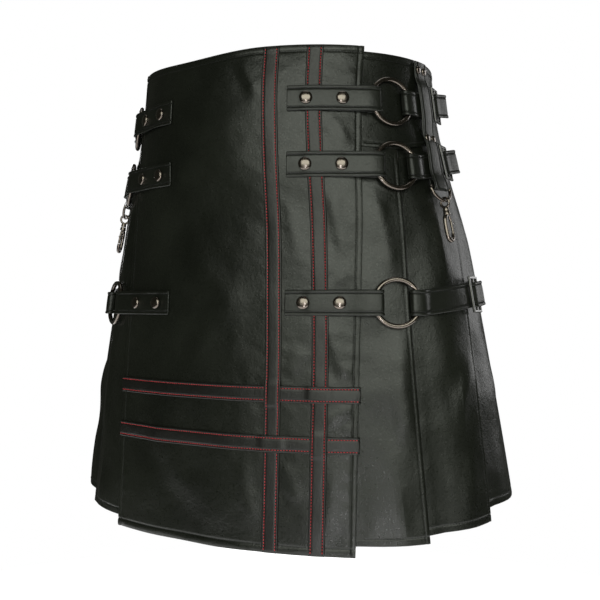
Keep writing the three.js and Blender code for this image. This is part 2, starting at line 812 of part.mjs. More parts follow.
for (const side of [1, -1]) {
  const sideName = side > 0 ? 'left' : 'right';
  const halfWidth = hanger.width / 2;
  const place = (down, out, across) => onSkirt(side * (hangerArc(-down) + across), -down, out);
  const across = side > 0 ? [halfWidth, -halfWidth] : [-halfWidth, halfWidth];
  addMesh(`hanger_${sideName}`, strip(hangerLine, hanger.thickness, across, place), leather);

  const arc = side * hanger.arcLow;
  const loopEnds = [-1, 1].map((end) => (
    onSkirt(arc + end * halfWidth, hanger.loopZ, hanger.loopOut)
  ));
  const pivot = loopEnds[0].clone().lerp(loopEnds[1], 0.5);
  const tangent = loopEnds[1].clone().sub(loopEnds[0]).normalize();
  const normal = new THREE.Vector3(tangent.y, -tangent.x, 0);
  const leaning = (angle) => new THREE.Vector3(0, 0, Math.cos(angle)).addScaledVector(normal, -Math.sin(angle));
  const ringGroup = groupAt(pivot, tangent, leaning(dRing.lean));
  addMesh(`d_ring_${sideName}`, roundWire(dRingPoints(), dRing.wire, 8, true), nickel, ringGroup);

  const low = pivot.clone().addScaledVector(leaning(dRing.lean), -dRing.depth);
  const snapGroup = groupAt(low, tangent, leaning(snap.lean));
  const eye = eyeGeometry();
  addMesh(`snap_eye_${sideName}`, eye.geometry, nickel, snapGroup);

  const collarTop = eye.bottom - 0.3;
  const collar = new THREE.CylinderGeometry(snap.barrel, snap.barrel + 0.6, 5, 10);
  collar.translate(0, collarTop - 2.5, 0);
  const hook = roundWire(hookPoints(collarTop), snap.wire, 8, false);
  addMesh(`snap_hook_${sideName}`, joined(collar, hook), nickel, snapGroup);

  const gateTop = collarTop - 5.8;
  const gateEnd = -snap.length + 12.5;
  const gate = roundWire(
    [[snap.halfWidth - 2.6, gateTop], [snap.halfWidth - 0.8, gateTop - 5], [snap.halfWidth, gateEnd]],
    1.6,
    8,
    false,
  );
  addMesh(`snap_gate_${sideName}`, gate, nickel, snapGroup);
}

export default kilt;
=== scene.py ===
import json
import math
import bpy
import numpy as np
from mathutils import Matrix, Vector

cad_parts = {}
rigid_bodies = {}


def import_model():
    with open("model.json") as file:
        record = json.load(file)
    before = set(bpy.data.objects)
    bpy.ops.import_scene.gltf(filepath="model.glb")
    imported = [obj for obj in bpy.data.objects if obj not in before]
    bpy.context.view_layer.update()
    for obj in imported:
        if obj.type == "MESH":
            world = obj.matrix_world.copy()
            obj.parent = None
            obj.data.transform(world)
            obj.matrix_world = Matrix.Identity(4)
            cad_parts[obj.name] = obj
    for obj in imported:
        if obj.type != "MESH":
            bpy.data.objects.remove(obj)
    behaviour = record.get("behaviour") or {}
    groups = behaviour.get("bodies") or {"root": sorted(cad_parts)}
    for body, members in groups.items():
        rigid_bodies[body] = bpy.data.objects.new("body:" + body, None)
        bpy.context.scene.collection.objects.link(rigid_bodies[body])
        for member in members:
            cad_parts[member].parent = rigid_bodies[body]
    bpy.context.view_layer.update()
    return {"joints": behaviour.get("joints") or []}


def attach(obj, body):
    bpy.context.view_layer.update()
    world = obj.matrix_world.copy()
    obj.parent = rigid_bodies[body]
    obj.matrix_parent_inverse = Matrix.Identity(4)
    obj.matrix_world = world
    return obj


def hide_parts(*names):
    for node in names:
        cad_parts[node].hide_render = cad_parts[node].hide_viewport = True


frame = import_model()
joints = {joint["name"]: joint for joint in frame["joints"]}
print("frame loaded")

# the skirt's surface in metres: an ellipse at each height, and how far the leather sways
skirtShape = {
    "sections": [  # height, half width, depth in front, depth behind
        (0.000, 0.206, 0.158, 0.172),
        (-0.060, 0.210, 0.166, 0.195),
        (-0.140, 0.226, 0.167, 0.218),
        (-0.220, 0.248, 0.164, 0.238),
        (-0.308, 0.265, 0.168, 0.247),
        (-0.417, 0.284, 0.173, 0.252),
        (-0.610, 0.313, 0.181, 0.260),
    ],
    "swayFrom": 0.24,  # the leather hangs still down to here, and sways fully that much lower
    "swayGrow": 0.36,
    "swayWide": 0.0014,
    "swayWideLength": 0.034,
    "swayNarrow": 0.0008,
    "swayNarrowLength": 0.017,
    "swaySlant": 0.11,
    "probe": {"way": 0.0005, "up": 0.006, "out": 0.001},
}


def smooth(t):
    t = np.clip(t, 0, 1)
    return t * t * (3 - 2 * t)


def sectionAt(z):
    rows = skirtShape["sections"]
    z = min(0.0, max(rows[-1][0], z))
    k = 0
    while k < len(rows) - 2 and z < rows[k + 1][0]:
        k += 1

    def slope(i, n):
        low, high = rows[max(0, i - 1)], rows[min(len(rows) - 1, i + 1)]
        return (high[n] - low[n]) / (high[0] - low[0])

    a, b = rows[k], rows[k + 1]
    span = b[0] - a[0]
    t = (z - a[0]) / span
    h = t * t * (3 - 2 * t)
    return [
        a[n] * (1 - h) + b[n] * h
        + span * (slope(k, n) * t * (1 - t) ** 2 - slope(k + 1, n) * t * t * (1 - t))
        for n in (1, 2, 3)
    ]


# the surface is worked out once, at even steps of height and of the way round
skirtTable = {"low": -0.66, "high": 0.02, "heightStep": 0.0025, "longest": 1.05, "wayStep": 0.002,
              "turn": 1.25 * math.pi, "turnSteps": 900}
tableHeights = np.linspace(skirtTable["low"], skirtTable["high"],
                           1 + round((skirtTable["high"] - skirtTable["low"]) / skirtTable["heightStep"]))
tableWays = np.linspace(0, skirtTable["longest"], 1 + round(skirtTable["longest"] / skirtTable["wayStep"]))
tableSections = np.array([sectionAt(z) for z in tableHeights])
tableAngles = []
tableHalves = []
turnAngles = np.linspace(0, skirtTable["turn"], skirtTable["turnSteps"] + 1)
for half, front, back in tableSections:
    depths = np.where(np.cos(turnAngles) >= 0, front, back)
    steps = np.hypot(np.diff(half * np.sin(turnAngles)), np.diff(-depths * np.cos(turnAngles)))
    lengths = np.concatenate([[0], np.cumsum(steps)])
    tableAngles.append(np.interp(tableWays, lengths, turnAngles))
    tableHalves.append(np.interp(math.pi, turnAngles, lengths))
tableAngles = np.array(tableAngles)
tableHalves = np.array(tableHalves)


def halfRound(z):
    return np.interp(z, tableHeights, tableHalves)


def sway(arc, z):
    shape = skirtShape
    grow = smooth((-z - shape["swayFrom"]) / shape["swayGrow"])
    wide = shape["swayWide"] * np.sin(arc / shape["swayWideLength"] + 0.6)
    narrow = shape["swayNarrow"] * np.sin(arc / shape["swayNarrowLength"] - z / shape["swaySlant"] + 2.0)
    return grow * (wide + narrow)


def skirt(arc, z, out=0.0):  # points at a way round, a height and a distance outside the surface
    arc, z, out = (np.asarray(a, float) for a in np.broadcast_arrays(arc, z, out))
    u = np.clip(np.abs(arc) / skirtTable["wayStep"], 0, len(tableWays) - 1.001)
    v = np.clip((z - skirtTable["low"]) / skirtTable["heightStep"], 0, len(tableHeights) - 1.001)
    i, j = u.astype(int), v.astype(int)
    s, t = u - i, v - j
    below = tableAngles[j, i] * (1 - s) + tableAngles[j, i + 1] * s
    above = tableAngles[j + 1, i] * (1 - s) + tableAngles[j + 1, i + 1] * s
    angle = (below * (1 - t) + above * t) * np.where(arc < 0, -1, 1)
    half, front, back = (tableSections[j, n] * (1 - t) + tableSections[j + 1, n] * t for n in range(3))
    depth = np.where(np.cos(angle) >= 0, front, back)
    nx, ny = np.sin(angle) * depth, -np.cos(angle) * half
    reach = (out + sway(arc, z)) / np.hypot(nx, ny)
    return np.stack([half * np.sin(angle) + nx * reach, -depth * np.cos(angle) + ny * reach, z], axis=-1)


def onSkirt(arc, z, out=0.0):
    return Vector(skirt(arc, z, out).tolist())


def alongSkirt(arc, z):
    step = skirtShape["probe"]["way"]
    return (onSkirt(arc + step, z) - onSkirt(arc - step, z)).normalized()


def climbAt(arc, z):
    step = skirtShape["probe"]["up"]
    return onSkirt(arc, z + step) - onSkirt(arc, z - step)


def upSkirt(arc, z):
    return climbAt(arc, z).normalized()


def outSkirt(arc, z):
    return (onSkirt(arc, z, skirtShape["probe"]["out"]) - onSkirt(arc, z)).normalized()


def leanAt(arc, z):  # how far a line of equal way round shifts for each metre that it climbs
    return climbAt(arc, z).dot(alongSkirt(arc, z)) / (2 * skirtShape["probe"]["up"])


def wayOf(point, guess):  # the way round and the distance outside the surface of a point
    arc = guess
    for _ in range(12):
        arc += (point - onSkirt(arc, point.z)).dot(alongSkirt(arc, point.z))
    return arc, (point - onSkirt(arc, point.z)).dot(outSkirt(arc, point.z))


# camera, light and floor
studio = {
    "cameraPlace": (0.5610, -1.0920, -0.3120),
    "cameraTurn": 27.19,
    "lens": 52.39,
    "shift": (0.0252, 0.0032),
    "floorHeight": -1.02,
    "floorRadius": 1.3,
    "roomColour": (0.96, 1, 0.80, 1),  # what the leather and metal see all round; the camera sees white
    "roomStrength": 0.036,
}
cameraData = bpy.data.cameras.new("camera")
cameraData.lens = studio["lens"]
cameraData.sensor_width = 36
cameraData.shift_x, cameraData.shift_y = studio["shift"]
cameraData.clip_start = 0.05
camera = bpy.data.objects.new("camera", cameraData)
bpy.context.collection.objects.link(camera)
camera.location = studio["cameraPlace"]
camera.rotation_euler = (math.radians(90), 0, math.radians(studio["cameraTurn"]))
bpy.context.scene.camera = camera


def softLight(name, place, target, size, power, colour):
    data = bpy.data.lights.new(name, "AREA")
    data.shape = "RECTANGLE"
    data.size, data.size_y = size
    data.energy = power
    data.color = colour
    lamp = bpy.data.objects.new(name, data)
    bpy.context.collection.objects.link(lamp)
    lamp.location = place
    lamp.visible_camera = False
    lamp.rotation_euler = (Vector(target) - Vector(place)).to_track_quat("-Z", "Y").to_euler()
    return lamp


lampTable = [  # name, place, what it points at, size, power and colour
    ("frontLight", (1.02, -2.13, 0.60), (0, 0, -0.25), (3.2, 1.5), 42, (0.95, 1.0, 0.88)),
    ("kneeLight", (1.02, -2.13, -0.52), (0, 0, -0.25), (3.2, 0.75), 4.5, (0.95, 1.0, 0.88)),
    ("lowLight", (0.75, -1.6, -0.95), (0, 0, -0.3), (0.16, 0.16), 3.0, (1, 1, 1)),
    ("topLight", (0.0, 0.4, 2.2), (0, 0, -0.3), (1.6, 1.6), 8, (0.97, 1.0, 0.96)),
    ("sideLight", (1.5, 2.0, 0.3), (0, 0, -0.3), (1.2, 1.4), 9, (1, 1, 1)),
    ("backLight", (-1.2, 2.2, 0.2), (0, 0, -0.3), (2.2, 1.3), 22, (1, 1, 1)),
    ("sparkLight", (0.60, -1.17, -0.36), (0, 0, -0.3), (0.2, 0.2), 1.4, (1, 1, 1)),
]
lamps = {row[0]: softLight(*row) for row in lampTable}

world = bpy.data.worlds.new("studio")
bpy.context.scene.world = world
world.use_nodes = True
worldNodes = world.node_tree
worldNodes.nodes.clear()
worldOut = worldNodes.nodes.new("ShaderNodeOutputWorld")
worldMix = worldNodes.nodes.new("ShaderNodeMixShader")
worldSeen = worldNodes.nodes.new("ShaderNodeBackground")
worldLit = worldNodes.nodes.new("ShaderNodeBackground")
worldPath = worldNodes.nodes.new("ShaderNodeLightPath")
worldSeen.inputs["Color"].default_value = (1, 1, 1, 1)
worldLit.inputs["Color"].default_value = studio["roomColour"]
worldLit.inputs["Strength"].default_value = studio["roomStrength"]
worldNodes.links.new(worldPath.outputs["Is Camera Ray"], worldMix.inputs[0])
worldNodes.links.new(worldLit.outputs[0], worldMix.inputs[1])
worldNodes.links.new(worldSeen.outputs[0], worldMix.inputs[2])
worldNodes.links.new(worldMix.outputs[0], worldOut.inputs["Surface"])
bpy.context.scene.view_settings.view_transform = "Standard"


# materials
def newMaterial(name):
    material = bpy.data.materials.new(name)
    material.use_nodes = True
    tree = material.node_tree
    shader = tree.nodes["Principled BSDF"]
    return material, tree, shader


def addNode(tree, kind, links=None, **values):  # values are the node's own settings or its sockets
    node = tree.nodes.new(kind)
    for name, value in values.items():
        if hasattr(node, name):
            setattr(node, name, value)
        else:
            node.inputs[name.replace("_", " ")].default_value = value
    for name, source in (links or {}).items():
        tree.links.new(source, node.inputs[name])
    return node


leatherLook = {
    "colour": (0.0058, 0.0068, 0.0046, 1),
    "worn": (0.0115, 0.0130, 0.0095, 1),
    "roughLow": 0.25,
    "roughHigh": 0.38,
    "grainScale": 900,
    "grainDepth": 0.16,
    "grainEdge": 0.12,
    "poreScale": 360,
    "poreDepth": 0.32,
    "creaseScale": 70,
    "creaseDepth": 0.13,
    "dentScale": 11,
    "dentDepth": 0.60,
}


def mapRange(tree, source, fromRange, toRange=(0, 1)):
    node = addNode(tree, "ShaderNodeMapRange", {"Value": source})
    node.inputs["From Min"].default_value, node.inputs["From Max"].default_value = fromRange
    node.inputs["To Min"].default_value, node.inputs["To Max"].default_value = toRange
    return node.outputs[0]


def mixColour(tree, factor, first, second):
    node = addNode(tree, "ShaderNodeMix", {"Factor": factor}, data_type="RGBA")
    node.inputs[6].default_value, node.inputs[7].default_value = first, second  # the two colour sockets
    return node.outputs[2]


def makeLeather(name, look):
    material, tree, shader = newMaterial(name)
    place = addNode(tree, "ShaderNodeTexCoord").outputs["Object"]
    broad = addNode(tree, "ShaderNodeTexNoise", {"Vector": place}, Scale=9.0, Detail=4.0, Roughness=0.55)
    fine = addNode(tree, "ShaderNodeTexNoise", {"Vector": place}, Scale=420.0, Detail=3.0, Roughness=0.6)
    pore = addNode(tree, "ShaderNodeTexNoise", {"Vector": place}, Scale=float(look["poreScale"]), Detail=2.0)
    crease = addNode(tree, "ShaderNodeTexNoise", {"Vector": place}, Scale=float(look["creaseScale"]), Detail=1.5)
    dent = addNode(tree, "ShaderNodeTexNoise", {"Vector": place}, Scale=float(look["dentScale"]), Detail=1.5)
    grain = addNode(tree, "ShaderNodeTexVoronoi", {"Vector": place}, feature="DISTANCE_TO_EDGE",
                    Scale=float(look["grainScale"]))
    tone = mapRange(tree, broad.outputs[0], (0.38, 0.68))
    tree.links.new(mixColour(tree, tone, look["colour"], look["worn"]), shader.inputs["Base Color"])
    rough = mapRange(tree, fine.outputs[0], (0.3, 0.7), (look["roughLow"], look["roughHigh"]))
    tree.links.new(rough, shader.inputs["Roughness"])
    cells = mapRange(tree, grain.outputs[0], (0, look["grainEdge"]))
    grainBump = addNode(tree, "ShaderNodeBump", {"Height": cells},
                        Strength=look["grainDepth"], Distance=0.0002)
    poreBump = addNode(tree, "ShaderNodeBump", {"Height": pore.outputs[0], "Normal": grainBump.outputs[0]},
                       Strength=look["poreDepth"], Distance=0.0008)
    creaseBump = addNode(tree, "ShaderNodeBump", {"Height": crease.outputs[0], "Normal": poreBump.outputs[0]},
                         Strength=look["creaseDepth"], Distance=0.003)
    dentBump = addNode(tree, "ShaderNodeBump", {"Height": dent.outputs[0], "Normal": creaseBump.outputs[0]},
                       Strength=look["dentDepth"], Distance=0.014)
    tree.links.new(dentBump.outputs[0], shader.inputs["Normal"])
    shader.inputs["Specular IOR Level"].default_value = 0.5
    return material


leather = makeLeather("blackLeather", leatherLook)
strapLook = {**leatherLook, "roughLow": 0.30, "roughHigh": 0.42, "dentDepth": 0.2}
trimLook = {**leatherLook, "colour": (0.0060, 0.0058, 0.0050, 1), "worn": (0.0110, 0.0108, 0.0096, 1),
            "roughLow": 0.31, "roughHigh": 0.43}
strapLeather = makeLeather("strapLeather", strapLook)
trimLeather = makeLeather("trimLeather", trimLook)


def makeThread(name, colour, worn):
    material, tree, shader = newMaterial(name)
    place = addNode(tree, "ShaderNodeTexCoord").outputs["Object"]
    twist = addNode(tree, "ShaderNodeTexNoise", {"Vector": place}, Scale=1500.0, Detail=2.0)
    tree.links.new(mixColour(tree, twist.outputs[0], colour, worn), shader.inputs["Base Color"])
    bump = addNode(tree, "ShaderNodeBump", {"Height": twist.outputs[0]}, Strength=0.4, Distance=0.0002)
    tree.links.new(bump.outputs[0], shader.inputs["Normal"])
    shader.inputs["Roughness"].default_value = 0.6
    return material


redThread = makeThread("redThread", (0.50, 0.028, 0.042, 1), (0.72, 0.060, 0.072, 1))
blackThread = makeThread("blackThread", (0.006, 0.006, 0.006, 1), (0.014, 0.014, 0.014, 1))


def makeMetal(name, colour, low, high):
    material, tree, shader = newMaterial(name)
    place = addNode(tree, "ShaderNodeTexCoord").outputs["Object"]
    smudge = addNode(tree, "ShaderNodeTexNoise", {"Vector": place}, Scale=130.0, Detail=4.0)
    scratch = addNode(tree, "ShaderNodeTexNoise", {"Vector": place}, Scale=1600.0, Detail=2.0)
    tree.links.new(mapRange(tree, smudge.outputs[0], (0.3, 0.7), (low, high)), shader.inputs["Roughness"])
    bump = addNode(tree, "ShaderNodeBump", {"Height": scratch.outputs[0]}, Strength=0.05, Distance=0.0002)
    tree.links.new(bump.outputs[0], shader.inputs["Normal"])
    shader.inputs["Base Color"].default_value = colour
    shader.inputs["Metallic"].default_value = 1.0
    shader.inputs["Coat Weight"].default_value = 1.0
    shader.inputs["Coat Roughness"].default_value = 0.05
    return material


nickel = makeMetal("nickel", (0.155, 0.125, 0.105, 1), 0.19, 0.31)
darkNickel = makeMetal("darkNickel", (0.07, 0.068, 0.066, 1), 0.26, 0.40)
print("materials done")


# helpers that make meshes
def deselectAll():
    for thing in bpy.context.view_layer.objects:
        thing.select_set(False)


def pickOnly(piece):
    deselectAll()
    piece.select_set(True)
    bpy.context.view_layer.objects.active = piece


def applyModifier(piece, kind, **values):
    pickOnly(piece)
    modifier = piece.modifiers.new(kind.lower(), kind)
    for name, value in values.items():
        setattr(modifier, name, value)
    bpy.ops.object.modifier_apply(modifier=modifier.name)


def newPiece(name, points, faces, material):  # all that is made from points is part of the kilt's body
    mesh = bpy.data.meshes.new(name)
    mesh.from_pydata([tuple(p) for p in np.asarray(points).reshape(-1, 3)], [], faces)
    mesh.materials.append(material)
    mesh.polygons.foreach_set("use_smooth", [True] * len(mesh.polygons))
    piece = bpy.data.objects.new(name, mesh)
    bpy.context.collection.objects.link(piece)
    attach(piece, "kilt")
    return piece


def gridFaces(rows, columns):
    r, c = np.meshgrid(np.arange(rows - 1), np.arange(columns - 1), indexing="ij")
    a = (r * columns + c).ravel()
    return np.stack([a, a + columns, a + columns + 1, a + 1], axis=1).tolist()


def sheetPiece(name, grid, thickness, edge=0.0006, even=True):
    # grid is the outer face: rows run down, columns to the wearer's left
    piece = newPiece(name, grid, gridFaces(grid.shape[0], grid.shape[1]), leather)
    applyModifier(piece, "SOLIDIFY", thickness=thickness, offset=-1, use_even_offset=even)
    applyModifier(piece, "BEVEL", width=edge, segments=2, limit_method="ANGLE", angle_limit=math.radians(60))
    pickOnly(piece)
    bpy.ops.object.shade_smooth_by_angle(angle=math.radians(60))
    return piece


def spacing(low, high, step, marks, near=0.0012):  # even places, with seven closer ones about each mark
    count = max(1, round((high - low) / step))
    places = list(np.linspace(low, high, count + 1))
    fine = [mark + k * near for mark in marks for k in (-2.5, -1.2, -0.5, 0, 0.5, 1.2, 2.5)]
    places = [p for p in places if all(abs(p - m) > 3 * near for m in marks) or p in (low, high)]
    fine = [p for p in fine if low + 0.0003 < p < high - 0.0003]
    return np.array(sorted(set(places + fine)))


seamShape = {"depth": 0.0006, "width": 0.0011, "puff": 0.00045}
creaseShape = {"fade": 0.3, "furrow": 0.45, "furrowAt": 1.7, "furrowWidth": 0.9}


def seamGroove(distance, at, depth=seamShape["depth"], puff=seamShape["puff"]):
    # a stitched turned hem: a groove along the stitches and a slight swelling up to the edge
    groove = -depth * np.exp(-((distance - at) / seamShape["width"]) ** 2)
    swell = puff * np.clip(1 - ((distance - at / 2) / (at / 2)) ** 2, 0, 1)
    return groove + swell


def crease(arc, z, fold):
    # a soft ridge along a line, with a shallower furrow on one side, fading out at both ends
    shape = creaseShape
    (a0, z0), (a1, z1) = fold["line"]
    da, dz = a1 - a0, z1 - z0
    length = math.hypot(da, dz)
    t = ((arc - a0) * da + (z - z0) * dz) / length ** 2
    across = ((arc - a0) * dz - (z - z0) * da) / length
    bend = fold.get("bend", 0) * np.sin(np.clip(t, 0, 1) * math.pi)
    x = (across - bend) / fold["width"]
    fade = smooth(t / shape["fade"]) * smooth((1 - t) / shape["fade"])
    furrow = shape["furrow"] * np.exp(-((x - shape["furrowAt"]) / shape["furrowWidth"]) ** 2)
    return fold["height"] * fade * (np.exp(-x ** 2) - furrow)


# front apron
apronShape = {
    "halfWidth": 0.174,
    "length": 0.610,
    "thickness": 0.002,
    "outer": 0.0024,
    "dipArc": -0.055,
    "dip": 0.005,
    "sideHem": 0.0068,
    "topHem": 0.0085,
    "bottomHem": 0.0095,
    "folds": [
        {"line": ((0.138, -0.084), (0.158, -0.130)), "width": 0.0060, "height": 0.0015},
        {"line": ((0.136, -0.166), (0.160, -0.270)), "width": 0.0080, "height": 0.0021, "bend": 0.004},
        {"line": ((0.135, -0.330), (0.168, -0.414)), "width": 0.0085, "height": 0.0022, "bend": 0.004},
        {"line": ((0.160, -0.262), (0.144, -0.298)), "width": 0.006, "height": 0.0012},
        {"line": ((0.020, -0.010), (0.050, -0.066)), "width": 0.008, "height": 0.0015},
        {"line": ((0.086, -0.402), (0.110, -0.366)), "width": 0.008, "height": 0.0013},
        {"line": ((0.132, -0.456), (0.166, -0.436)), "width": 0.007, "height": 0.0013},
        {"line": ((0.086, -0.498), (0.106, -0.556)), "width": 0.009, "height": 0.0014},
        {"line": ((0.150, -0.500), (0.138, -0.590)), "width": 0.009, "height": 0.0013},
        {"line": ((0.084, -0.180), (0.100, -0.270)), "width": 0.008, "height": 0.0011},
        {"line": ((-0.070, -0.20), (0.040, -0.34)), "width": 0.020, "height": 0.0022, "bend": 0.010},
        {"line": ((-0.120, -0.10), (-0.030, -0.225)), "width": 0.018, "height": 0.0018, "bend": -0.006},
        {"line": ((0.020, -0.31), (-0.050, -0.410)), "width": 0.016, "height": 0.0018, "bend": 0.008},
        {"line": ((-0.120, -0.44), (-0.020, -0.565)), "width": 0.018, "height": 0.0020, "bend": 0.008},
        {"line": ((0.030, -0.495), (0.052, -0.590)), "width": 0.010, "height": 0.0014},
    ],
    "pucker": 0.00032,
    "puckerLength": 0.021,
    "puckerReach": 0.007,
    "puckerClear": 0.002,
    "puckerEdge": 0.012,
    "puckerEdgeWidth": 0.006,
    "columnStep": 0.0042,
    "rowStep": 0.0045,
    "rim": 0.0015,
    "cut": (0.348, 0.610),
}
trimShape = {
    "width": 0.020,
    "thickness": 0.0014,
    "rise": 0.0015,
    "ramp": 0.009,
    "gap": 0.0002,
    "stitch": 0.0030,
    "uprights": [{"name": "band_upright_inner", "top": 0.061, "hem": 0.071, "over": 0},
                 {"name": "band_upright_outer", "top": 0.114, "hem": 0.128, "over": 1}],
    "levels": [{"name": "band_level_upper", "z": -0.422, "over": 1},
               {"name": "band_level_lower", "z": -0.481, "over": 0}],
    "uprightCut": 0.608,
    "levelCut": 0.353,
    "step": 0.004,
    "rampMark": 0.014,
    "rampStep": 0.002,
}
# each level of straps: height, way round to ring and slide, climb towards the back, how high its parts lie,
# and the length that its hip strap is cut to
strapRows = [
    {"name": "upper", "z": -0.067, "ringArc": 0.212, "rise": 0.16, "slideArc": 0.303, "seat": 0.0006,
     "lift": 0.0001, "tailLift": 0.007, "hipLength": 0.236},
    {"name": "middle", "z": -0.147, "ringArc": 0.216, "rise": 0.22, "slideArc": 0.309, "seat": 0.0003,
     "lift": 0.0011, "tailLift": 0.007, "hipLength": 0.246},
    {"name": "lower", "z": -0.313, "ringArc": 0.216, "rise": 0.12, "slideArc": 0.334, "seat": 0.0002,
     "lift": 0.0024, "tailLift": 0.0015, "hipLength": 0.294},
]


def uprightArc(which, z):
    return which["top"] + (which["hem"] - which["top"]) * smooth(-np.asarray(z) / 0.42)


def apronTop(arc):
    return -apronShape["dip"] * smooth(1 - np.abs(arc - apronShape["dipArc"]) / 0.11)


def underStrap(arc, z):  # 1 away from the straps, 0 beneath them
    clear = 1.0
    for row in strapRows:
        middle = row["z"] + row["rise"] * np.maximum(0, np.abs(arc) - row["ringArc"] - 0.032)
        near = smooth((np.abs(z - middle) - 0.0165) / 0.010)
        clear = clear * np.maximum(near, np.maximum(smooth((0.080 - np.abs(arc)) / 0.008),
                                                    smooth((np.abs(arc) - row["slideArc"] - 0.03) / 0.01)))
    return clear


def puckers(arc, z):  # the leather gathers a little beside each sewn trim band
    shape = apronShape
    wave = np.sin(2 * math.pi * (z + 0.3 * arc) / shape["puckerLength"] + 2.5 * np.sin(z / 0.05))
    across = np.sin(2 * math.pi * (arc + 0.2 * z) / shape["puckerLength"] + 2.0 * np.sin(arc / 0.04))
    total = 0.0
    for upright in trimShape["uprights"]:
        away = np.maximum(0, np.abs(arc - uprightArc(upright, z)) - trimShape["width"] / 2)
        total = total + wave * np.exp(-away / shape["puckerReach"]) * smooth(away / shape["puckerClear"])
    for levelBand in trimShape["levels"]:
        away = np.maximum(0, np.abs(z - levelBand["z"]) - trimShape["width"] / 2)
        total = total + across * np.exp(-away / shape["puckerReach"]) * smooth(away / shape["puckerClear"])
    fromEdge = shape["halfWidth"] - np.abs(arc) - shape["puckerEdge"]
    return shape["pucker"] * (total + wave * np.exp(-(fromEdge / shape["puckerEdgeWidth"]) ** 2))


def apronFace(arc, z):
    shape = apronShape
    side = seamGroove(shape["halfWidth"] - np.abs(arc), shape["sideHem"])
    top = seamGroove(apronTop(arc) - z, shape["topHem"])
    low = seamGroove(z + shape["length"], shape["bottomHem"])
    folds = sum(crease(arc, z, fold) for fold in shape["folds"])
    return shape["outer"] + side + top + low + (folds + puckers(arc, z)) * underStrap(arc, z)


def makeApron():
    shape = apronShape
    half = shape["halfWidth"]
    rims = (-half + shape["sideHem"], half - shape["sideHem"], -half + shape["rim"], half - shape["rim"])
    columns = spacing(-half, half, shape["columnStep"], rims)
    hems = (shape["topHem"], shape["length"] - shape["bottomHem"])
    rows = spacing(0, shape["length"], shape["rowStep"], hems)
    arcs = np.tile(columns, (len(rows), 1))
    tops = apronTop(arcs)
    heights = tops - rows[:, None] * (shape["length"] + tops) / shape["length"]
    grid = skirt(arcs, heights, apronFace(arcs, heights))
    apron = sheetPiece("apronSheet", grid, shape["thickness"])
    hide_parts("apron")


underApronShape = {"halfWidth": 0.1497, "top": -0.006, "bottom": -0.597, "outer": -0.0005,
                   "thickness": 0.0015, "sideHem": 0.007, "endHem": 0.009, "groove": 0.0002, "step": 0.0075,
                   "cut": (0.2994, 0.591)}


def makeUnderApron():
    shape = underApronShape
    half, bottom, top = shape["halfWidth"], shape["bottom"], shape["top"]
    columns = spacing(-half, half, shape["step"], (-half + shape["sideHem"], half - shape["sideHem"]))
    rows = spacing(bottom, top, shape["step"], (bottom + shape["endHem"], top - shape["endHem"]))[::-1]
    arcs, heights = np.meshgrid(columns, rows)
    relief = seamGroove(half - np.abs(arcs), shape["sideHem"], shape["groove"], 0.0)
    for distance in (top - heights, heights - bottom):
        relief = relief + seamGroove(distance, shape["endHem"], shape["groove"], 0.0)
    grid = skirt(arcs, heights, shape["outer"] + relief)
    under = sheetPiece("underApronSheet", grid, shape["thickness"])
    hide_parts("under_apron")


makeApron()
makeUnderApron()
print("aprons done")

# yoke round the hips
yokeShape = {"start": 0.150, "top": -0.006, "frontDepth": 0.125, "sideDepth": 0.111, "riseStart": 0.215,
             "riseLength": 0.09, "outer": -0.0002, "thickness": 0.0018, "seamLift": 0.0016, "liftHeight": 0.016,
             "topHem": 0.0085, "seamHem": 0.0055, "cut": (0.97, 0.119)}


def yokeSeam(arc):
    shape = yokeShape
    rise = shape["frontDepth"] - shape["sideDepth"]
    return -shape["frontDepth"] + rise * smooth((np.abs(arc) - shape["riseStart"]) / shape["riseLength"])


def makeYoke():
    shape = yokeShape
    ways = np.linspace(0, 1, 301)
    downs = spacing(0, 1, 0.04, (0.074, 0.952), near=0.008)
    t, v = np.meshgrid(ways, downs)
    roundLow = 2 * halfRound(-shape["frontDepth"])
    guess = shape["start"] + (roundLow - 2 * shape["start"]) * t
    seams = yokeSeam(np.minimum(guess, roundLow - guess))
    heights = shape["top"] + (seams - shape["top"]) * v
    halves = 2 * halfRound(heights)
    arcs = shape["start"] + (halves - 2 * shape["start"]) * t
    wrapped = np.where(arcs > halves / 2, arcs - halves, arcs)
    fromSeam = heights - seams
    fromSide = np.minimum(t, 1 - t) * (roundLow - 2 * shape["start"])
    lift = shape["seamLift"] * smooth(1 - fromSeam / shape["liftHeight"]) * smooth((fromSide - 0.028) / 0.02)
    relief = seamGroove(shape["top"] - heights, shape["topHem"]) + seamGroove(fromSeam, shape["seamHem"])
    relief = relief * smooth((fromSide - 0.026) / 0.004)  # flat where the apron lies on it
    grid = skirt(wrapped, heights, shape["outer"] + lift + relief)
    yoke = sheetPiece("yokeSheet", grid, shape["thickness"])
    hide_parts("yoke")


makeYoke()
print("yoke done")

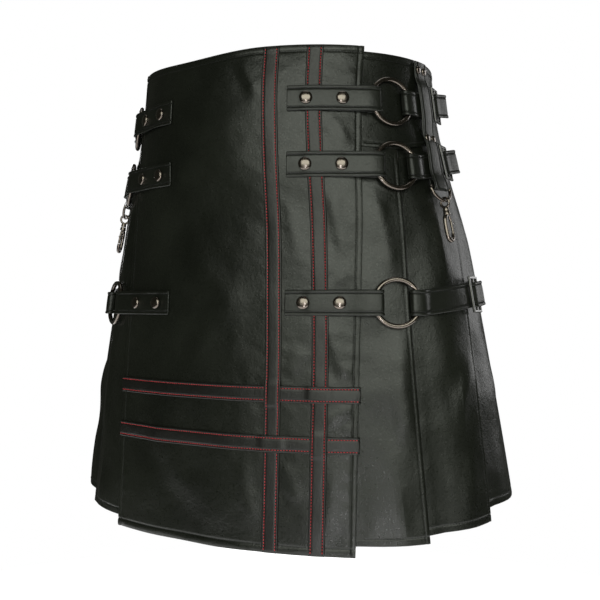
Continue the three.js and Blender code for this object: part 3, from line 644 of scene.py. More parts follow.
# knife pleats
pleatShape = {
    "perSide": 6,
    "hem": -0.598,
    "thickness": 0.0014,
    "firstTop": 0.222,
    "firstHem": 0.261,
    "topSpread": 0.95,
    "hemSpread": 1.1,
    "flare": 1.35,
    "foldTop": 0.040,
    "foldHem": 0.022,
    "outer": (-0.0002, 0.003),
    "middle": (-0.0021, -0.0035),
    "inner": (-0.004, -0.009),
    "tuck": 0.0013,
    "sewnOut": -0.0020,
    "edge": 0.0004,
    "startPast": 0.003,
    "firstOut": -0.0013,
    "firstRise": 0.016,
    "riseGap": 0.006,
    "tail": 0.0123,
    "hemBand": 0.011,
    "foldTurn": (60, 30, 0, -30, -60),
    "backTurn": (60, 0, -60),
    "points": {"rise": 6, "face": 22, "under": 6},
    "edgeStitch": 0.0055,
    "hemStitch": 0.008,
    # how far the hem climbs at each pleat's start and fold, then at the centre back
    "hemRises": [(0.000, 0.005), (0.012, 0.022), (0.034, 0.037), (0.039, 0.041), (0.042, 0.043),
                 (0.044, 0.045), (0.046, 0.046)],
    # the cut of each panel, named by its first pleat
    "flat": {1: (0.33, 0.475), 3: (0.36, 0.447), 5: (0.36, 0.441), "back": (0.13, 0.439)},
    "folds": {
        1: [{"line": ((0.222, -0.335), (0.238, -0.500)), "width": 0.013, "height": 0.0032, "bend": 0.006},
            {"line": ((0.186, -0.170), (0.212, -0.290)), "width": 0.012, "height": 0.0024},
            {"line": ((0.196, -0.350), (0.188, -0.480)), "width": 0.012, "height": 0.0030},
            {"line": ((0.205, -0.520), (0.232, -0.590)), "width": 0.013, "height": 0.0026}],
        2: [{"line": ((0.326, -0.375), (0.276, -0.515)), "width": 0.013, "height": 0.0046, "bend": 0.004},
            {"line": ((0.250, -0.185), (0.296, -0.300)), "width": 0.014, "height": 0.0022},
            {"line": ((0.262, -0.335), (0.272, -0.430)), "width": 0.011, "height": 0.0018},
            {"line": ((0.320, -0.480), (0.306, -0.590)), "width": 0.013, "height": 0.0024}],
        3: [{"line": ((0.350, -0.200), (0.386, -0.340)), "width": 0.014, "height": 0.0024},
            {"line": ((0.410, -0.380), (0.368, -0.530)), "width": 0.014, "height": 0.0030}],
        4: [{"line": ((0.456, -0.220), (0.432, -0.380)), "width": 0.014, "height": 0.0024},
            {"line": ((0.466, -0.400), (0.494, -0.560)), "width": 0.014, "height": 0.0028}],
        5: [{"line": ((0.516, -0.200), (0.552, -0.360)), "width": 0.014, "height": 0.0024},
            {"line": ((0.590, -0.400), (0.556, -0.550)), "width": 0.014, "height": 0.0028}],
        6: [{"line": ((0.622, -0.230), (0.602, -0.400)), "width": 0.014, "height": 0.0022},
            {"line": ((0.664, -0.410), (0.690, -0.560)), "width": 0.014, "height": 0.0026}],
    },
}
seamHeight = -yokeShape["frontDepth"]


def hang(z):
    return np.clip((z - seamHeight) / (pleatShape["hem"] - seamHeight), 0, 1)


def layerOut(name, z):  # how far out each layer of a pleat lies, tucked in behind the yoke at the seam
    atSeam, atHem = pleatShape[name]
    tucked = pleatShape["tuck"] * smooth((z - seamHeight + 0.012) / 0.016)
    return atSeam + (atHem - atSeam) * hang(z) - tucked * (1 if name == "outer" else 0.6)


def foldArc(number, z):
    shape = pleatShape
    share = (number - 1) / (shape["perSide"] - 0.5)
    roundSeam, roundHem = halfRound(seamHeight), halfRound(shape["hem"])
    atSeam = shape["firstTop"] + (roundSeam - shape["firstTop"]) * share ** shape["topSpread"]
    atHem = shape["firstHem"] + (roundHem - shape["firstHem"]) * share ** shape["hemSpread"]
    fallen = hang(z) ** shape["flare"]
    backShift = halfRound(z) - (roundSeam * (1 - fallen) + roundHem * fallen)
    return atSeam + (atHem - atSeam) * fallen + backShift * share


def foldDepth(z):
    return pleatShape["foldTop"] + (pleatShape["foldHem"] - pleatShape["foldTop"]) * hang(z)


def pleatWrinkle(number, arc, z):
    total = sum(crease(arc, z, fold) for fold in pleatShape["folds"][number])
    clear = underStrap(arc, z)
    swell = 0.0008 * np.sin(math.pi * np.clip((arc - 0.19) / 0.05, 0, 1)) * hang(z)
    return total * clear + swell * clear


def pleatStart(number, z):  # where a pleat starts and how far out, and where it has risen to its face
    shape = pleatShape
    beforeFold = foldArc(number, z) - foldDepth(z) - shape["riseGap"]
    if number == 1:
        risen = np.maximum(apronShape["halfWidth"] + shape["firstRise"], beforeFold)
        return yokeShape["start"], shape["firstOut"], risen
    start = foldArc(number - 1, z) + shape["startPast"]
    return start, layerOut("inner", z), np.maximum(start, beforeFold)


def pleatLine(number, z):
    shape = pleatShape
    counts = shape["points"]
    outer, middle, inner = (float(layerOut(name, z)) for name in ("outer", "middle", "inner"))
    fold, depth = float(foldArc(number, z)), float(foldDepth(z))
    start, startOut, risen = (float(value) for value in pleatStart(number, z))
    line = []
    for t in np.linspace(0, 1, counts["rise"] + 1)[:-1]:
        line.append((start + (risen - start) * t, startOut + (outer - startOut) * float(smooth(t))))
    if number == 1:  # it stays flat under the apron's edge
        line = [(a, min(o, -0.0011) if a < apronShape["halfWidth"] + 0.003 else o) for a, o in line]
    radius = max(0.0008, (outer - middle) / 2)
    for t in np.linspace(0, 1, counts["face"]):
        arc = risen + (fold - radius - risen) * t
        relief = seamGroove(fold - arc, shape["edgeStitch"], 0.0004, 0.0003) if t > 0.3 else 0.0
        raisedBy = float(relief) * float(smooth(-(z - seamHeight) / 0.03))
        line.append((arc, outer + raisedBy + float(pleatWrinkle(number, arc, z))))
    for turn in shape["foldTurn"]:
        line.append((fold - radius + radius * math.cos(math.radians(turn)),
                     (outer + middle) / 2 + radius * math.sin(math.radians(turn))))
    under = fold - depth
    backRadius = max(0.0006, (middle - inner) / 2)
    for t in np.linspace(0, 1, counts["under"]):
        line.append((fold - radius + (under + backRadius - fold + radius) * t, middle))
    for turn in shape["backTurn"]:
        line.append((under + backRadius - backRadius * math.cos(math.radians(turn)),
                     (middle + inner) / 2 + backRadius * math.sin(math.radians(turn))))
    line.append((under + backRadius, inner))
    line.append((under + 0.012, inner))
    return line


def pleatFace(number, arc, z):  # how far out the face of a pleat lies
    start, startOut, risen = pleatStart(number, z)
    grown = smooth((arc - start) / np.maximum(risen - start, 0.000001))
    face = startOut + (layerOut("outer", z) - startOut) * grown
    return face + pleatShape["thickness"] / 2 + pleatWrinkle(number, arc, z)


def offsetLine(line, distance):
    # moves a line of (way, out) points sideways; plus is outwards
    line = np.array(line)
    ahead = np.gradient(line, axis=0)
    size = np.maximum(np.hypot(ahead[:, 0], ahead[:, 1]), 1e-9)
    return line + np.stack([-ahead[:, 1], ahead[:, 0]], axis=1) / size[:, None] * distance


pleatRows = np.concatenate([[seamHeight + 0.008, seamHeight + 0.005, seamHeight + 0.001],
                            np.linspace(seamHeight - 0.004, pleatShape["hem"] + pleatShape["hemBand"], 84),
                            pleatShape["hem"] + np.array([0.0088, 0.008, 0.0072, 0.006, 0.004, 0.0015, 0])])


def climb(z):  # the share of its hem's climb that a row of points takes
    return float(np.clip((seamHeight - z) / (seamHeight - pleatShape["hem"] - pleatShape["hemBand"]), 0, 1))


def sewnTo(outs, z):  # above the seam the leather lies against the yoke, where it is sewn
    return np.maximum(outs, pleatShape["sewnOut"] - 0.004 * (1 - smooth((z - seamHeight - 0.001) / 0.004)))


def pleatRow(number, z):
    # one row of a pleat: the same line cut at three heights, and followed from one to the next
    shape = pleatShape
    start, fold = shape["hemRises"][number - 1]
    after = shape["hemRises"][number][0]
    low, middle, high = (np.array(pleatLine(number, z + rise * climb(z))) for rise in (start, fold, after))
    faceEnd = shape["points"]["rise"] + shape["points"]["face"]
    underStart = faceEnd + len(shape["foldTurn"])
    innerStart = underStart + shape["points"]["under"] + len(shape["backTurn"])
    index = np.arange(len(middle))
    face = np.clip((middle[:, 0] - middle[0, 0]) / (middle[faceEnd - 1, 0] - middle[0, 0]), 0, 1)[:, None]
    # the hidden layers climb to the next pleat's hem
    behind = np.interp(index, (underStart - 1, innerStart), (0, 1))[:, None]
    onFace = (index < faceEnd)[:, None]
    line = np.where(onFace, low + (middle - low) * face, middle + (high - middle) * behind)
    line[:, 1] = np.where(onFace[:, 0], sewnTo(line[:, 1], z), line[:, 1])
    rises = np.where(onFace, start + (fold - start) * face, fold + (after - fold) * behind)[:, 0]
    return line, z + rises * climb(z)


def makePleats():
    shape = pleatShape
    for side, sideName in ((1, "Left"), (-1, "Right")):
        for first in range(1, shape["perSide"], 2):
            grid = []
            for z in pleatRows:
                parts = [pleatRow(number, float(z)) for number in (first, first + 1)]
                if first > 1:
                    top = float(z) + shape["hemRises"][first - 1][0] * climb(z)
                    begin = float(foldArc(first - 1, top) - foldDepth(top)) + shape["tail"]
                    parts.insert(0, (np.array([[begin, float(layerOut("inner", top))]]), np.array([top])))
                line = offsetLine(np.concatenate([part[0] for part in parts]), shape["thickness"] / 2)
                heights = np.concatenate([part[1] for part in parts])
                dip = np.where(np.abs(z - shape["hem"] - shape["hemStitch"]) < 0.0004, -0.0005, 0.0)
                heights = heights + (yokeSeam(line[:, 0]) - seamHeight) * (1 - hang(heights)) ** 6
                grid.append(skirt(side * line[:, 0], heights, line[:, 1] + dip))
            grid = np.array(grid)
            if side < 0:
                grid = grid[:, ::-1]
            name = f"pleats{sideName}{first}{first + 1}"
            piece = sheetPiece(name, grid, shape["thickness"], shape["edge"], even=False)
            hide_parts(f"pleats_{sideName.lower()}_{first}_{first + 1}")
    grid = []
    for z in pleatRows + np.array([shape["hemRises"][-1][0] * climb(z) for z in pleatRows]):
        half = float(halfRound(z))
        start = float(foldArc(shape["perSide"], z) - foldDepth(z)) + shape["tail"]
        edge = float(foldArc(shape["perSide"], z)) + shape["startPast"]
        arcs = np.concatenate([np.linspace(start, edge, 8)[:-1], np.linspace(edge, half, 12)])
        inner, middle = float(layerOut("inner", z)), float(layerOut("middle", z))
        outs = inner + (middle - inner) * smooth((arcs - edge) / (half - edge))
        outs = np.where(arcs >= edge, sewnTo(outs, z), outs)
        arcs = np.concatenate([arcs, 2 * half - arcs[-2::-1]])
        outs = np.concatenate([outs, outs[-2::-1]]) + shape["thickness"] / 2
        height = float(z + (yokeSeam(0.4) - seamHeight) * (1 - hang(z)) ** 6)
        arcs = arcs + float(halfRound(height)) - half
        wrapped = np.where(arcs > float(halfRound(height)), arcs - 2 * float(halfRound(height)), arcs)
        grid.append(skirt(wrapped, height, outs))
    piece = sheetPiece("pleatCentreBack", np.array(grid), shape["thickness"], shape["edge"])
    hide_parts("pleat_centre_back")


makePleats()
print("pleats done")


# strips: trim bands, straps and hangers
def rounded(line, rounds=2):
    line = np.array(line, float)
    for _ in range(rounds):
        cut = [line[0]]
        for a, b in zip(line[:-1], line[1:]):
            cut += [a * 0.75 + b * 0.25, a * 0.25 + b * 0.75]
        line = np.array(cut + [line[-1]])
    return line


def resampled(line, step):
    line = np.array(line, float)
    parts = [line[0]]
    for a, b in zip(line[:-1], line[1:]):
        count = max(1, int(np.hypot(*(b - a)) / step))
        parts += [a + (b - a) * k / count for k in range(1, count + 1)]
    return np.array(parts)


def stripProfile(half, thickness, groove, puff):
    # (across, height) points round the strip: raised turned edges with a stitched groove beside them
    outer = [
        (-half, -thickness * 0.1),
        (-half + 0.0002, thickness * 0.3),
        (-half + 0.0007, thickness * 0.5 + puff * 0.6),
        (-half + 0.0017, thickness * 0.5 + puff),
        (-half + groove - 0.0009, thickness * 0.5 + puff * 0.6),
        (-half + groove, thickness * 0.5 - 0.0005),
        (-half + groove + 0.001, thickness * 0.5 + 0.0002),
        (-half + groove + 0.003, thickness * 0.5 + 0.0003),
    ]
    face = outer + [(0, thickness * 0.5 + 0.0004)] + [(-w, h) for w, h in reversed(outer)]
    under = [(half - 0.0005, -thickness * 0.42), (half - 0.0015, -thickness * 0.5), (0, -thickness * 0.5),
             (-half + 0.0015, -thickness * 0.5), (-half + 0.0005, -thickness * 0.42)]
    return np.array(face + under)


def sweep(line, profile, place, taper=0.0016):
    # loops of points along a line of (way, out), closed by rounded ends
    ahead = np.gradient(line, axis=0)
    size = np.maximum(np.hypot(ahead[:, 0], ahead[:, 1]), 1e-9)
    normal = np.stack([-ahead[:, 1], ahead[:, 0]], axis=1) / size[:, None]
    direction = ahead / size[:, None]
    loops = []
    last = len(line) - 1
    stations = [(0, -taper * 0.35, 0.45, 0.93), (0, -taper * 0.1, 0.85, 0.985)]
    stations += [(i, 0, 1, 1) for i in range(len(line))]
    stations += [(last, taper * 0.1, 0.85, 0.985), (last, taper * 0.35, 0.45, 0.93)]
    for i, push, high, wide in stations:
        way = line[i, 0] + normal[i, 0] * profile[:, 1] * high + direction[i, 0] * push
        out = line[i, 1] + normal[i, 1] * profile[:, 1] * high + direction[i, 1] * push
        loops.append(place(way, out, profile[:, 0] * wide))
    return np.array(loops)


def sweptPiece(name, loops, material, flip=False):
    count, ring = loops.shape[:2]
    faces = []
    for i in range(count - 1):
        for k in range(ring):
            a, b = i * ring + k, i * ring + (k + 1) % ring
            faces.append((a, b, b + ring, a + ring))
    faces.append(tuple(range(ring - 1, -1, -1)))
    faces.append(tuple((count - 1) * ring + k for k in range(ring)))
    if flip:
        faces = [face[::-1] for face in faces]
    piece = newPiece(name, loops, faces, material)
    pickOnly(piece)
    bpy.ops.object.mode_set(mode="EDIT")
    bpy.ops.mesh.select_all(action="SELECT")
    bpy.ops.mesh.normals_make_consistent(inside=False)
    bpy.ops.object.mode_set(mode="OBJECT")
    bpy.ops.object.shade_smooth_by_angle(angle=math.radians(50))
    return piece


stitchLook = {"length": 0.0024, "pitch": 0.0036, "width": 0.0009, "height": 0.0008}
stitchTurn = np.radians((0, 60, 120, 180, 270))
stitchRims = [(x, 0.5 * math.cos(a), 0.5 * math.sin(a) * 1.1) for x in (-0.3, 0.3) for a in stitchTurn]
stitchShape = np.array([(-0.5, 0, -0.2)] + stitchRims + [(0.5, 0, -0.2)])
stitchFaces = [(0, 1 + (k + 1) % 5, 1 + k) for k in range(5)]
stitchFaces += [(1 + k, 1 + (k + 1) % 5, 6 + (k + 1) % 5, 6 + k) for k in range(5)]
stitchFaces += [(11, 6 + k, 6 + (k + 1) % 5) for k in range(5)]
seams = {"red": [], "apron": [], "pleats": [], "straps": []}


def addSeam(group, points, normals):
    # points of a seam's middle line on the leather, and the leather's directions outwards
    look = stitchLook
    pitch = look["pitch"]
    points, normals = np.asarray(points), np.asarray(normals)
    lengths = np.concatenate([[0], np.cumsum(np.linalg.norm(np.diff(points, axis=0), axis=1))])
    count = int((lengths[-1] - look["length"]) / pitch)
    if count < 1:
        return
    offset = (lengths[-1] - (count * pitch + look["length"])) / 2
    for k in range(count + 1):
        low = offset + k * pitch
        ends = [np.array([np.interp(s, lengths, points[:, n]) for n in range(3)])
                for s in (low, low + look["length"])]
        normal = np.array([np.interp(low + look["length"] / 2, lengths, normals[:, n]) for n in range(3)])
        seams[group].append((ends[0], ends[1], normal))


def seamOnSkirt(group, arcs, heights, outs):
    arcs, heights, outs = (np.asarray(a, float) for a in np.broadcast_arrays(arcs, heights, outs))
    points = skirt(arcs, heights, outs)
    normals = skirt(arcs, heights, outs + 0.001) - points
    addSeam(group, points, normals)


def raised(distance):
    shape = trimShape
    return shape["rise"] * smooth((shape["width"] / 2 + shape["ramp"] - np.abs(distance)) / shape["ramp"])


def bandBase(arc, z):
    return np.maximum(apronFace(arc, z), apronShape["outer"]) + trimShape["gap"] + trimShape["thickness"] / 2


def makeBands():
    shape = trimShape
    half = shape["width"] / 2
    profile = stripProfile(half, shape["thickness"], shape["stitch"], 0.0004)
    stitchAt = half - shape["stitch"]
    stitchHigh = shape["thickness"] / 2 + 0.0001
    for upright in shape["uprights"]:
        crossing = shape["levels"][upright["over"]]["z"]
        ramps = (crossing - shape["rampMark"], crossing + shape["rampMark"])
        highest = -0.002 + float(apronTop(0.06))
        heights = spacing(-0.609, highest, shape["step"], ramps, near=shape["rampStep"])[::-1]
        loops = []
        last = len(heights) - 1
        rims = [(0, 0.0006, 0.45, 0.95)] + [(i, 0, 1, 1) for i in range(last + 1)] + [(last, -0.0006, 0.45, 0.95)]
        for i, push, high, wide in rims:
            z = heights[i]
            arcs = uprightArc(upright, z) + profile[:, 0] * wide
            outs = bandBase(arcs, z) + raised(z - crossing) + profile[:, 1] * high
            loops.append(skirt(arcs, z + push, outs))
        piece = sweptPiece(upright["name"] + "_leather", np.array(loops), trimLeather)
        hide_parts(upright["name"])
        for w in (-stitchAt, stitchAt):
            zs = np.linspace(heights[0] - 0.002, heights[-1] + 0.002, 300)
            arcs = uprightArc(upright, zs) + w
            seamOnSkirt("red", arcs, zs, bandBase(arcs, zs) + raised(zs - crossing) + stitchHigh)
    edge = apronShape["halfWidth"] + 0.0012
    for levelBand in shape["levels"]:
        z0 = levelBand["z"]
        crossing = float(uprightArc(shape["uprights"][levelBand["over"]], z0))
        ramps = (crossing - shape["rampMark"], crossing + shape["rampMark"])
        ways = spacing(-edge + 0.002, edge - 0.002, shape["step"], ramps, near=shape["rampStep"])
        middle = bandBase(ways, z0) + raised(ways - crossing)
        line = np.concatenate([
            [(-edge, 0.0008), (-edge - 0.0001, 0.0018), (-edge + 0.0004, middle[0] - 0.0003)],
            np.stack([ways, middle], axis=1),
            [(edge - 0.0004, middle[-1] - 0.0003), (edge + 0.0001, 0.0018), (edge, 0.0008)],
        ])
        place = lambda way, out, across: skirt(way, z0 + across, out)
        piece = sweptPiece(levelBand["name"] + "_leather", sweep(line, profile, place), trimLeather)
        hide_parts(levelBand["name"])
        for w in (-stitchAt, stitchAt):
            arcs = np.linspace(-edge + 0.001, edge - 0.001, 300)
            seamOnSkirt("red", arcs, z0 + w, bandBase(arcs, z0) + raised(arcs - crossing) + stitchHigh)


makeBands()
print("bands done")

strapShape = {"width": 0.031, "thickness": 0.0015, "start": 0.084, "onApron": 0.0035, "overBand": 0.0049,
              "outer": 0.0054, "stitch": 0.0042, "puff": 0.0008}
ringShape = {"radius": 0.028, "wire": 0.003, "clear": 0.0005}
rivetShape = {"radius": 0.008, "height": 0.0042, "arcs": (0.106, 0.149)}
slideShape = {"height": 0.046, "length": 0.027, "bar": 0.0034, "thickness": 0.003, "clear": 0.0013}
placed = {"rings": [], "slides": [], "rivets": [], "smallRivets": []}


def frameAt(origin, xAxis, yAxis):
    zAxis = xAxis.cross(yAxis).normalized()
    trueY = zAxis.cross(xAxis).normalized()
    return Matrix((
        (xAxis.x, trueY.x, zAxis.x, origin.x),
        (xAxis.y, trueY.y, zAxis.y, origin.y),
        (xAxis.z, trueY.z, zAxis.z, origin.z),
        (0, 0, 0, 1),
    ))


def strapSeams(line, place, side, half, low=0.0, high=1.0):
    # stitch rows near both edges, on the face away from the body between two shares of the line
    shape = strapShape
    ahead = np.gradient(line, axis=0)
    size = np.maximum(np.hypot(ahead[:, 0], ahead[:, 1]), 1e-9)
    normal = np.stack([-ahead[:, 1], ahead[:, 0]], axis=1) / size[:, None]
    for w in (-half + shape["stitch"], half - shape["stitch"]):
        h = shape["thickness"] / 2
        across = np.full(len(line), w)
        onFace = place(line[:, 0] + normal[:, 0] * h, line[:, 1] + normal[:, 1] * h, across)
        above = place(line[:, 0] + normal[:, 0] * (h + 0.001), line[:, 1] + normal[:, 1] * (h + 0.001), across)
        pick = slice(int(low * len(line)), int(high * len(line)))
        addSeam("straps", onFace[pick], (above - onFace)[pick])


def makeStraps():
    shape = strapShape
    half = shape["width"] / 2
    profile = stripProfile(half, shape["thickness"], shape["stitch"], shape["puff"])
    for row in strapRows:
        for side, sideName in ((1, "left"), (-1, "right")):
            def arcZ(way):
                past = way - row["ringArc"] - ringShape["radius"] - 0.004
                return row["z"] + row["rise"] * np.maximum(0, past)

            leanTable = np.array([(way, leanAt(side * way, row["z"]) * side) for way in np.linspace(0.05, 0.42, 75)])

            def place(way, out, up):
                shift = np.interp(way, leanTable[:, 0], leanTable[:, 1])
                return skirt(side * (way - shift * up), arcZ(way) + up, out)

            ringOut = ringShape["wire"] + 0.0016 + row["lift"]
            centre = onSkirt(side * row["ringArc"], row["z"], ringOut)
            tangent = alongSkirt(side * row["ringArc"], row["z"])
            near = wayOf(centre - tangent * side * ringShape["radius"], side * 0.185)
            far = wayOf(centre + tangent * side * ringShape["radius"], side * 0.242)
            pocket = ringShape["wire"] + ringShape["clear"] + shape["thickness"] / 2
            under = pocket + 0.0013
            onApron = shape["onApron"] + row["seat"]
            overBand = shape["overBand"] + row["seat"]
            outerLayer = shape["outer"] + row["seat"]
            reach = ringShape["radius"] - math.sqrt(ringShape["radius"] ** 2 - (half + 0.002) ** 2)
            tip = reach + ringShape["wire"] + ringShape["clear"] + shape["thickness"] / 2
            nearWay, nearOut = side * near[0], near[1]
            band = float(uprightArc(trimShape["uprights"][1], row["z"]))
            apronLine = [
                (shape["start"], onApron), ((shape["start"] + band - 0.018) / 2, onApron), (band - 0.018, onApron),
                (band - 0.011, overBand), (band, overBand), (band + 0.011, overBand),
                ((band + 0.011 + 0.158) / 2, outerLayer), (0.158, outerLayer),
                (nearWay - 0.012, max(outerLayer, nearOut + pocket - 0.002)), (nearWay - 0.004, nearOut + pocket),
                (nearWay + tip - 0.003, nearOut + pocket), (nearWay + tip - 0.0008, nearOut + pocket * 0.6),
                (nearWay + tip, nearOut), (nearWay + tip - 0.0008, nearOut - under * 0.6),
                (nearWay + tip - 0.003, nearOut - under), (nearWay - 0.004, nearOut - under),
                (nearWay - 0.009, max(onApron, nearOut - under)), (0.160, onApron), (band + 0.018, onApron),
            ]
            line = resampled(rounded(apronLine), 0.004)
            piece = sweptPiece(f"strap_apron_{row['name']}_{sideName}_leather", sweep(line, profile, place),
                               strapLeather, side < 0)
            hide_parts(f"strap_apron_{row['name']}_{sideName}")
            strapSeams(line, place, side, half, 0.01, 0.52)
            across = np.linspace(-half + shape["stitch"], half - shape["stitch"], 20)
            way = np.full(20, shape["start"] + shape["stitch"])
            onFace = place(way, np.full(20, onApron + shape["thickness"] / 2), across)
            above = place(way, np.full(20, onApron + shape["thickness"] / 2 + 0.001), across)
            addSeam("straps", onFace, above - onFace)

            upWay = upSkirt(side * row["ringArc"], row["z"])
            placed["rings"].append((f"o_ring_{row['name']}_{sideName}", frameAt(centre, tangent, upWay)))

            farWay, farOut = side * far[0], far[1]
            inLayer = 0.0014 + row["lift"]
            outLayer = 0.0034 + row["lift"]
            slideOut = outLayer + shape["thickness"] / 2 + slideShape["clear"] + slideShape["thickness"] / 2
            overBar = slideOut + slideShape["thickness"] / 2 + 0.0004 + shape["thickness"] / 2
            tail = overBar + row["tailLift"]
            slideArc = row["slideArc"]
            hipLine = [(way, inLayer) for way in np.linspace(slideArc + 0.030, farWay + 0.014, 7)]
            hipLine += [
                (farWay + 0.009, inLayer), (farWay + 0.004, min(inLayer, farOut - under)),
                (farWay - tip + 0.003, farOut - under), (farWay - tip + 0.0008, farOut - under * 0.6),
                (farWay - tip, farOut), (farWay - tip + 0.0008, farOut + pocket * 0.6),
                (farWay - tip + 0.003, farOut + pocket), (farWay + 0.004, farOut + pocket),
                (farWay + 0.012, outLayer + 0.001),
            ]
            hipLine += [(way, outLayer) for way in np.linspace(farWay + 0.020, slideArc - 0.009, 5)]
            hipLine += [
                (slideArc - 0.0036, overBar - 0.0012), (slideArc - 0.002, overBar), (slideArc + 0.004, overBar + 0.0004),
                (slideArc + 0.012, (overBar + tail) / 2), (slideArc + 0.021, tail),
            ]
            line = resampled(rounded(hipLine), 0.004)
            piece = sweptPiece(f"strap_hip_{row['name']}_{sideName}_leather", sweep(line, profile, place),
                               strapLeather, side < 0)
            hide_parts(f"strap_hip_{row['name']}_{sideName}")
            strapSeams(line, place, side, half, 0.52, 0.99)

            slideZ = float(arcZ(slideArc))
            placed["slides"].append((f"slide_{row['name']}_{sideName}", frameAt(
                onSkirt(side * slideArc, slideZ, slideOut), alongSkirt(side * slideArc, slideZ),
                upSkirt(side * slideArc, slideZ))))
            for i, arc in enumerate(rivetShape["arcs"]):
                seat = (overBand if arc < band + 0.011 else outerLayer) + shape["thickness"] / 2 + 0.00045
                placed["rivets"].append((f"rivet_{row['name']}_{sideName}_{i + 1}", frameAt(
                    onSkirt(side * arc, row["z"], seat), alongSkirt(side * arc, row["z"]), upSkirt(side * arc, row["z"]))))


makeStraps()
print("straps done")

# hangers, D-rings and snap hooks
hangerShape = {"width": 0.026, "thickness": 0.002, "arcTop": 0.264, "arcLow": 0.277, "loopZ": -0.170,
               "loopOut": 0.011}
dRingShape = {"inner": 0.0175, "depth": 0.019, "wire": 0.002, "lean": 0.4}
snapShape = {"lean": 0.2, "eyeRadius": 0.0061, "eyeWire": 0.0016, "barrel": 0.004, "wire": 0.002, "halfWidth": 0.0065,
             "length": 0.051}


def hangerArc(z):
    return hangerShape["arcTop"] + (hangerShape["arcLow"] - hangerShape["arcTop"]) * smooth(-z / 0.12)


def makeHangers():
    shape = hangerShape
    half = shape["width"] / 2
    profile = stripProfile(half, shape["thickness"] - 0.0004, 0.0036, 0.0003)
    loop = -shape["loopZ"]
    reach = dRingShape["wire"] + 0.0004 + shape["thickness"] / 2
    turn = [(loop + reach * math.cos(t), shape["loopOut"] + reach * math.sin(t))
            for t in np.radians(np.arange(100, -101, -20))]
    line = [(0.008, 0.0023), (0.022, 0.0023), (0.031, 0.0030), (0.042, 0.0074), (0.061, 0.0079), (0.080, 0.0074),
            (0.091, 0.0052), (0.098, 0.0046), (0.106, 0.0050), (0.114, 0.0078), (0.132, 0.0088), (0.151, 0.0088),
            (loop - 0.009, shape["loopOut"] + reach * 0.55), *turn, (loop - 0.009, shape["loopOut"] - reach - 0.001)]
    line = resampled(rounded(line, 3), 0.0035)
    for side, sideName in ((1, "left"), (-1, "right")):
        pivot = Vector(joints[f"d_ring_hinge_{sideName}"]["pos_m"])
        ends = [onSkirt(side * shape["arcLow"] + e * half, shape["loopZ"], shape["loopOut"]) for e in (-1, 1)]
        drift = np.array(pivot - (ends[0] + ends[1]) / 2)

        def place(down, out, across):
            down, out, across = np.broadcast_arrays(down, out, across)
            points = skirt(side * (hangerArc(-down) + across), -down, out)
            return points + smooth((down - 0.145) / 0.018)[..., None] * drift

        piece = sweptPiece(f"hanger_{sideName}_leather", sweep(line, profile, place), strapLeather,
                           side > 0)
        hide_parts(f"hanger_{sideName}")
        for down in (0.0185, 0.106):
            for across in (-0.0065, 0.0065):
                out = float(np.interp(down, line[:60, 0], line[:60, 1])) + 0.0010
                here = onSkirt(side * (float(hangerArc(-down)) + across), -down, out)
                placed["smallRivets"].append((f"rivet_hanger_{sideName}", frameAt(
                    here, alongSkirt(side * 0.27, -down), upSkirt(side * 0.27, -down))))


makeHangers()


def wirePiece(name, points, radius, closed, material, matrix, radii=None, body="kilt", sides=4):
    curve = bpy.data.curves.new(name, "CURVE")
    curve.dimensions = "3D"
    curve.bevel_depth = radius
    curve.bevel_resolution = sides
    curve.use_fill_caps = not closed
    spline = curve.splines.new("NURBS")
    spline.points.add(len(points) - 1)
    for k, point in enumerate(points):
        spline.points[k].co = (*point, 1)
        spline.points[k].radius = 1 if radii is None else radii[k]
    spline.order_u = 3
    spline.resolution_u = 5
    spline.use_cyclic_u = closed
    spline.use_endpoint_u = not closed
    piece = bpy.data.objects.new(name, curve)
    bpy.context.collection.objects.link(piece)
    pickOnly(piece)
    bpy.ops.object.convert(target="MESH")
    piece = bpy.context.view_layer.objects.active
    piece.data.transform(matrix)
    piece.data.materials.clear()
    piece.data.materials.append(material)
    piece.data.polygons.foreach_set("use_smooth", [True] * len(piece.data.polygons))
    return piece


def joinPieces(name, parts, body, *nodes):
    pickOnly(parts[0])
    for part in parts[1:]:
        part.select_set(True)
    if len(parts) > 1:
        bpy.ops.object.join()
    piece = bpy.context.view_layer.objects.active
    piece.name = name
    piece.data.name = name
    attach(piece, body)
    if nodes:
        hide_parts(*nodes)
    return piece


def cylinderPart(name, radiusLow, radiusHigh, low, high, matrix, material, edge=0.0005):
    # a turned barrel along the local Y, between two heights
    deselectAll()
    bpy.ops.mesh.primitive_cone_add(vertices=28, radius1=radiusLow, radius2=radiusHigh, depth=high - low,
                                    location=(0, 0, (low + high) / 2))
    part = bpy.context.view_layer.objects.active
    bpy.ops.object.transform_apply(location=True, rotation=True, scale=True)
    part.name = name
    applyModifier(part, "BEVEL", width=edge, segments=3, limit_method="ANGLE", angle_limit=math.radians(40))
    part.data.transform(Matrix.Rotation(math.radians(-90), 4, "X"))
    part.data.transform(matrix)
    part.data.materials.clear()
    part.data.materials.append(material)
    pickOnly(part)
    bpy.ops.object.shade_smooth_by_angle(angle=math.radians(40))
    return part


